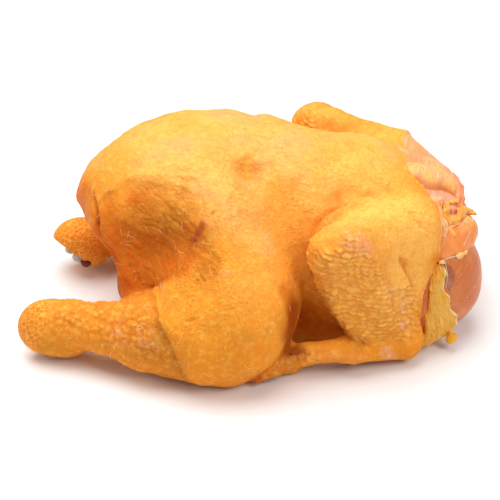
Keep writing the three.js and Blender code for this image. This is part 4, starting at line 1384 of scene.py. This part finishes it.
creases, creases_in, creases_out = new_group(
    "creases", DRAWN_OUT + [("Width", FLOAT, 0.05)], [("Lines", FLOAT)]
)
place = drawn_out(creases, shaken_place(creases, 35.0, 2.0, 0.004), creases_in)
wave = add(creases, "TexNoise", {"Vector": place, "Scale": 0.6, "Detail": 1.5})
from_level = maths(creases, "ABSOLUTE", maths(creases, "SUBTRACT", wave.outputs["Fac"], 0.5))
line = spread(creases, from_level, 0.0, creases_in.outputs["Width"], 1.0, 0.0)
place = add(creases, "TexCoord").outputs["Object"]
gaps = add(creases, "TexNoise", {"Vector": place, "Scale": 90.0, "Detail": 2.0})
broken = maths(creases, "MULTIPLY", line, spread(creases, gaps.outputs["Fac"], 0.35, 0.6))
creases.links.new(broken, creases_out.inputs["Lines"])

# %% Specks, cloudy patches and scales
specks, specks_in, specks_out = new_group(
    "specks",
    [("Spacing", FLOAT, 8.0), ("Size", FLOAT, 0.8), ("Share", FLOAT, 0.3)],
    [("Mask", FLOAT)],
)
place = shaken_place(specks, 500.0, 1.0, 0.0012)
per_metre = maths(specks, "DIVIDE", 1000, specks_in.outputs["Spacing"])
dots = add(specks, "TexVoronoi", {"Vector": place, "Scale": per_metre})
radius = maths(specks, "DIVIDE", specks_in.outputs["Size"], specks_in.outputs["Spacing"])
inner = maths(specks, "MULTIPLY", radius, 0.5)
dot = add(specks, "MapRange", {0: dots.outputs["Distance"], 1: inner, 2: radius, 3: 1.0, 4: 0.0})
luck = add(specks, "SeparateColor", {0: dots.outputs["Color"]}).outputs[0]
lucky = maths(specks, "LESS_THAN", luck, specks_in.outputs["Share"])
specks.links.new(maths(specks, "MULTIPLY", dot.outputs[0], lucky), specks_out.inputs["Mask"])

mottle, mottle_in, mottle_out = new_group(
    "mottle",
    [("Colour", COLOUR, (1, 1, 1, 1)), ("Patch", COLOUR, (1, 1, 1, 1)),
     ("Size", FLOAT, 10.0), ("Amount", FLOAT, 0.5), ("Cover", FLOAT, 0.5)],
    [("Colour", COLOUR)],
)
place = add(mottle, "TexCoord").outputs["Object"]
per_metre = maths(mottle, "DIVIDE", 1000, mottle_in.outputs["Size"])
blotch = {"Vector": place, "Scale": per_metre, "Detail": 5.0, "Roughness": 0.62}
blotch = add(mottle, "TexNoise", blotch).outputs["Fac"]
level = maths(mottle, "SUBTRACT", 0.9, maths(mottle, "MULTIPLY", mottle_in.outputs["Cover"], 0.8))
shown = spread(mottle, maths(mottle, "SUBTRACT", blotch, level), -0.1, 0.12)
factor = maths(mottle, "MULTIPLY", shown, mottle_in.outputs["Amount"])
mixed = mix(mottle, factor, mottle_in.outputs["Colour"], mottle_in.outputs["Patch"])
mottle.links.new(mixed, mottle_out.inputs["Colour"])

scales, scales_in, scales_out = new_group(
    "scales",
    [("Size", FLOAT, 3.0), ("Width", FLOAT, 0.12)],
    [("Rims", FLOAT)],
)
place = add(scales, "TexCoord").outputs["Object"]
per_metre = maths(scales, "DIVIDE", 1000, scales_in.outputs["Size"])
web = {"Vector": place, "Scale": per_metre, "Randomness": 0.7}
web = add(scales, "TexVoronoi", web, feature="DISTANCE_TO_EDGE")
rims = spread(scales, web.outputs["Distance"], 0.0, scales_in.outputs["Width"], 1.0, 0.0)
scales.links.new(rims, scales_out.inputs["Rims"])
print("node groups:", [group.name for group in bpy.data.node_groups])

# %% [markdown]
# ## Finish of the skin
#
# Raw skin is moist, slightly see-through and yellow from its fat.  The colour is layered: gold,
# then the pale back with painted light, the deep hollows with painted shade, the olive of the
# drumstick, blushes, stains and the cream cut edge.  Painted shade in the pits and painted light
# on the bumps make the relief read from a distance.  The bumps smaller than a millimetre are left
# to the Bump node, as they don't change the outline.

# %% Skin material
GOLD, OCHRE, BROWN = paint("F79C2C"), paint("E8932C"), paint("BC6414")
SCALE, SCALE_RIM, LILAC = paint("EC801C"), paint("FFC458"), paint("EDC4C0")
# Among these layers are painted light on lit skin and painted shade in hollows and underneath.
LAYERS = [  # mask, share of the colour at its strongest, colour
    ("pale", 1.0, "FAB05A"), ("light", 1.0, "FDBC5A"), ("deep", 0.9, "D45706"),
    ("olive", 1.0, "C88A2A"), ("under", 0.55, "E0800E"), ("bruise_and_shade", 0.9, "C8802A"),
    ("shade", 0.9, "AC6216"), ("ridge", 1.0, "F59A3C"), ("blush", 0.7, "F7A978"),
]
LAST_LAYERS = [("stain", 1.0, "B04A20"), ("dark", 0.8, "8E3404"), ("rim", 0.5, "FBD69A")]
SPECKS = [  # spacing, size, share, strength, colour
    (9, 0.8, 0.12, 0.5, "EDC4C0"), (4.5, 0.5, 0.14, 0.3, "FFD070"),
    (10, 0.8, 0.16, 0.4, "E0602A"), (8, 0.35, 0.2, 0.6, "8A4416"),
]


def start_material(name):
    material = bpy.data.materials.new(name)
    material.use_nodes = True
    tree = material.node_tree
    tree.nodes.clear()
    shader = add(tree, "BsdfPrincipled")
    output = add(tree, "OutputMaterial")
    tree.links.new(shader.outputs[0], output.inputs["Surface"])
    return material, tree, shader


def fill(tree, shader, **inputs):
    for name, value in inputs.items():
        plug(tree, value, shader.inputs[name.replace("_", " ")])


def times(tree, *values):
    product = values[0]
    for value in values[1:]:
        product = maths(tree, "MULTIPLY", product, value)
    return product


def masked(tree, name, share=1.0):
    return times(tree, mask_of(tree, name), share)


def clouded(tree, colour, patch, size, amount, cover):
    """The colour with cloudy patches of another one."""
    return place_group(tree, mottle, Colour=colour, Patch=patch, Size=size, Amount=amount,
                       Cover=cover).outputs[0]


skin_material, tree, shader = start_material("moist yellow skin")
bumps = place_group(tree, goose, Size=2.7, Patchiness=0.6).outputs["Height"]
small = place_group(tree, goose, Size=1.4, Patchiness=0.3).outputs["Height"]
large = place_group(tree, goose, Size=6.0, Patchiness=1.0).outputs["Height"]
large = spread(tree, large, 0.55, 0.95)
either = maths(tree, "MAXIMUM", mask_of(tree, "forearm"), mask_of(tree, "shank"))
large = times(tree, large, maths(tree, "SUBTRACT", 1.0, either))
combed = place_group(tree, streaks, Across=1.5, Along=12, Turn=(0.0, 0.3, 0.0)).outputs[0]
combed = times(tree, combed, mask_of(tree, "combed"))
folded = place_group(tree, streaks, Across=2.8, Along=34, Turn=(0.0, 0.85, 0.0)).outputs[0]
wrinkled = place_group(tree, creases, Across=6, Along=50, Width=0.05,
                       Turn=(0.0, 0.8, 0.0)).outputs[0]
fine_creases = place_group(tree, creases, Across=4, Along=90, Width=0.02,
                        Turn=(0.0, 0.12, 0.0)).outputs[0]
in_folds = times(tree, maths(tree, "SUBTRACT", 1.0, folded), 0.6)
in_folds = times(tree, maths(tree, "MAXIMUM", in_folds, wrinkled), mask_of(tree, "wrinkled"))
fine_crease_lines = times(tree, fine_creases, mask_of(tree, "combed"))
rims = place_group(tree, scales, Size=3.2, Width=0.11).outputs[0]

# %% Colour of the skin
colour = clouded(tree, GOLD, OCHRE, 16, 0.8, 0.5)
for mask, share, code in LAYERS:
    colour = mix(tree, masked(tree, mask, share), colour, paint(code))
colour = mix(tree, mask_of(tree, "scales"), colour, mix(tree, rims, SCALE, SCALE_RIM))
# Painted light on the tops of the bumps, and painted shade in the pits.
lit_tops = times(tree, mask_of(tree, "top_light"), maths(tree, "SUBTRACT", 0.65, mask_of(tree, "deep")))
colour = mix(tree, maths(tree, "MAXIMUM", lit_tops, 0.0), colour, paint("FFCA62"))
pit_shade_colour = mix(tree, mask_of(tree, "shank"), BROWN, paint("D0641A"))
pit_shade_colour = mix(tree, mask_of(tree, "forearm"), pit_shade_colour, paint("D68E40"))
colour = mix(tree, masked(tree, "pit_shade", 0.8), colour, pit_shade_colour)
plain = maths(tree, "SUBTRACT", 1.0, masked(tree, "deep", 0.8))
colour = clouded(tree, colour, paint("F4A070"), 24, masked(tree, "pale", 0.5), 0.45)
colour = clouded(tree, colour, paint("E8842A"), 6, 0.28, 0.44)
colour = clouded(tree, colour, paint("FCC254"), 4.5, times(tree, plain, 0.4), 0.44)
colour = clouded(tree, colour, paint("E4862E"), 2.2, 0.32, 0.5)
colour = mix(tree, times(tree, large, 0.25), colour, paint("FFD474"))
# Painted shade in the folds and fine creases.
colour = mix(tree, times(tree, in_folds, 0.55), colour, BROWN)
colour = mix(tree, times(tree, fine_crease_lines, 0.15), colour, BROWN)
for spacing, size, share, amount, code in SPECKS:
    found = place_group(tree, specks, Spacing=spacing, Size=size, Share=share).outputs[0]
    colour = mix(tree, times(tree, found, amount), colour, paint(code))
colour = clouded(tree, colour, LILAC, 3.5, masked(tree, "fleck", 0.8), 0.4)
for mask, share, code in LAST_LAYERS:
    colour = mix(tree, masked(tree, mask, share), colour, paint(code))

# %% Bump and gloss of the skin
height_sum = times(tree, small, 0.35)
raised = [(bumps, 0.65), (combed, 0.3), (large, 0.6), (in_folds, -0.6), (fine_crease_lines, -0.3)]
for layer, share in raised + [(times(tree, rims, mask_of(tree, "scales")), -0.4)]:
    height_sum = maths(tree, "MULTIPLY_ADD", layer, share, height_sum)
bump = add(tree, "Bump", {"Strength": 0.6, "Distance": 0.001, "Height": height_sum})
gloss = spread(tree, bumps, 0.1, 0.8, 0.56, 0.44)  # the top of a goose bump is the glossier
fill(tree, shader, Base_Color=colour, Roughness=gloss, Normal=bump.outputs[0],
     Subsurface_Weight=0.06, Subsurface_Scale=0.0015, Subsurface_Radius=(1.0, 0.45, 0.15),
     Specular_IOR_Level=0.07)
skin.data.materials.append(skin_material)
print("nodes in the finish of the skin:", len(tree.nodes))

# %% [markdown]
# ## Finish of meat, fat, film and bone
#
# Wet muscle has a faint grain, and is browner on the breast than at the neck, darkened low down
# by painted shade.  Fat is yellow and greasy, films glisten, and cartilage is pale.  Painted
# textures could be wrapped around these pieces, but clouds of noise need no unwrapping and show no
# seams.  All but the meat share one function, since they differ only in their colours, gloss and
# wrinkles.

# %% Meat material
meat_material, tree, shader = start_material("wet raw meat")
colour = clouded(tree, paint("F0A46A"), paint("F6BA7E"), 12, 0.8, 0.5)
colour = clouded(tree, colour, paint("F4A848"), 18, 0.45, 0.35)
breast = clouded(tree, paint("CE6A2C"), paint("E08844"), 14, 0.8, 0.45)
colour = mix(tree, mask_of(tree, "dome"), colour, paint("F3A888"))
colour = mix(tree, mask_of(tree, "breast"), colour, breast)
grain = place_group(tree, streaks, Across=1.2, Along=30, Turn=(0.0, -0.7, 0.0)).outputs[0]
colour = mix(tree, times(tree, grain, 0.25), colour, paint("B8602E"))
bump = add(tree, "Bump", {"Strength": 0.3, "Distance": 0.001, "Height": grain})
fill(tree, shader, Base_Color=colour, Roughness=0.32, Normal=bump.outputs[0],
     Subsurface_Weight=0.1, Subsurface_Scale=0.003, Subsurface_Radius=(1.0, 0.35, 0.2),
     Specular_IOR_Level=0.3)
meat.data.materials.append(meat_material)
print("nodes in the finish of the meat:", len(tree.nodes))


# %% Fat, film and bone materials
def wet_material(name, colour, patch, spot, rough, relief_height, tint="F8D8A0"):
    """A moist finish with two kinds of patches, fine wrinkles and a second colour by mask."""
    material, tree, shader = start_material(name)
    mixed = clouded(tree, paint(colour), paint(patch), 7, 0.8, 0.5)
    mixed = clouded(tree, mixed, paint(spot), 3, 0.6, 0.3)
    mixed = mix(tree, mask_of(tree, "tint"), mixed, paint(tint))
    wrinkle = place_group(tree, streaks, Across=1.2, Along=6, Turn=(0.2, 0.3, 0.0))
    bump = add(tree, "Bump", {"Strength": relief_height, "Distance": 0.001,
                              "Height": wrinkle.outputs[0]})
    fill(tree, shader, Base_Color=mixed, Roughness=rough, Normal=bump.outputs[0],
         Subsurface_Weight=0.1, Subsurface_Scale=0.002, Subsurface_Radius=(1.0, 0.45, 0.15),
         Specular_IOR_Level=0.3)
    return material


FINISHES = {  # name, colour, patches, spots, roughness, relief, second colour
    "neck_roll": ("rolled neck skin", "F9B862", "F5AA80", "FCCA66", 0.42, 0.5, "E47C36"),
    "neck_fat": ("yellow neck fat", "F0A044", "F6B858", "EC8C48", 0.36, 0.5),
    "neck_bone": ("red bone end", "EE9078", "F2A68C", "E07058", 0.35, 0.3, "D03A34"),
    "neck_strip": ("folded strip of meat", "EC8E60", "F09C70", "E07C50", 0.35, 0.2),
    "breast_film": ("smooth breast film", "EC8A46", "F09A54", "E67E3C", 0.26, 0.2),
    "neck_veil": ("thin folded film", "F0A462", "F6C090", "F8D4AC", 0.3, 0.4),
    "grey_film": ("grey film", "A85C3C", "B47450", "904C34", 0.28, 0.25),
    "strands": ("white tissue", "F8DCC0", "F4C8A0", "FBE6D0", 0.4, 0.2),
    "fat_tags": ("pale fat", "F3B060", "F8CE90", "EEA048", 0.4, 0.4),
    "skin_flap": ("inner side of the skin", "FAB03C", "FCBE54", "D08420", 0.5, 1.0, "F8DCA0"),
    "fat_drop": ("drop of fat", "EFA420", "F6B838", "DE9018", 0.3, 0.2),
    "hock_joints": ("cut joint", "B4A89E", "C8BEB4", "9C8478", 0.3, 0.3, "6C2010"),
    "hairs": ("pale hairs", "FAD090", "FCDCA8", "F6C070", 0.6, 0.1),
}
all_parts = {**neck_parts, **film_parts, "hock_joints": hock_joints, "hairs": hairs}
for name, part in all_parts.items():
    part.data.materials.append(wet_material(*FINISHES[name]))
print("finishes of small parts:", len(FINISHES))

# %% [markdown]
# ## Table, light and camera
#
# A pale table runs out of sight behind the bird.  One wide soft light hangs over it, two weaker
# ones fill from the sides, and the pale surroundings lift the shadows.  A small lamp would give
# hard shadows and glaring spots on moist skin.  The camera looks down at the right side through a
# long lens, which keeps near and far legs the same size.

# %% Table
bpy.ops.mesh.primitive_plane_add(size=8, location=(0, 1.5, -0.0005))
table = bpy.context.object
table.name = "table"
table_material, tree, shader = start_material("pale table")
fill(tree, shader, Base_Color=(0.93, 0.93, 0.93, 1), Roughness=0.7)
table.data.materials.append(table_material)
print("the table is", table.dimensions.x, "m wide")


# %% Light
def soft_light(name, at, aim, size, power, tint=(1, 1, 1)):
    data = bpy.data.lights.new(name, "AREA")
    data.shape = "DISK"
    data.size = size
    data.energy = power
    data.color = tint
    light = bpy.data.objects.new(name, data)
    light.location = at
    light.rotation_euler = (Vector(at) - Vector(aim)).to_track_quat("Z", "Y").to_euler()
    bpy.context.scene.collection.objects.link(light)


soft_light("over the bird", (-0.18, 0.18, 1.03), (0, 0, 0.05), 1.25, 15.8)
soft_light("from the right", (0.7, -0.65, 1.0), (0, 0, 0.05), 0.7, 6.8)
soft_light("from the left", (-1.0, -0.1, 0.55), (-0.05, 0, 0.06), 0.6, 1.4)
world = bpy.data.worlds.new("pale surroundings")
world.use_nodes = True
world.node_tree.nodes["Background"].inputs[0].default_value = (1, 1, 1, 1)
world.node_tree.nodes["Background"].inputs[1].default_value = 0.25
bpy.context.scene.world = world
bpy.context.scene.view_settings.view_transform = "Standard"
print("lights:", [light.name for light in bpy.data.lights])

# %% Camera
CAMERA_TILT = math.radians(34)
CAMERA_AWAY = 1.0
LOOK_AT = Vector((0, -0.025, 0.055))
camera_data = bpy.data.cameras.new("camera")
camera_data.lens = 109.08
camera_data.sensor_width = 36
camera = bpy.data.objects.new("camera", camera_data)
back = Vector((0, -math.cos(CAMERA_TILT), math.sin(CAMERA_TILT)))
camera.location = LOOK_AT + CAMERA_AWAY * back
camera.rotation_euler = back.to_track_quat("Z", "Y").to_euler()
bpy.context.scene.collection.objects.link(camera)
bpy.context.scene.camera = camera
print("the camera is", round(camera.location.z, 3), "m above the table")
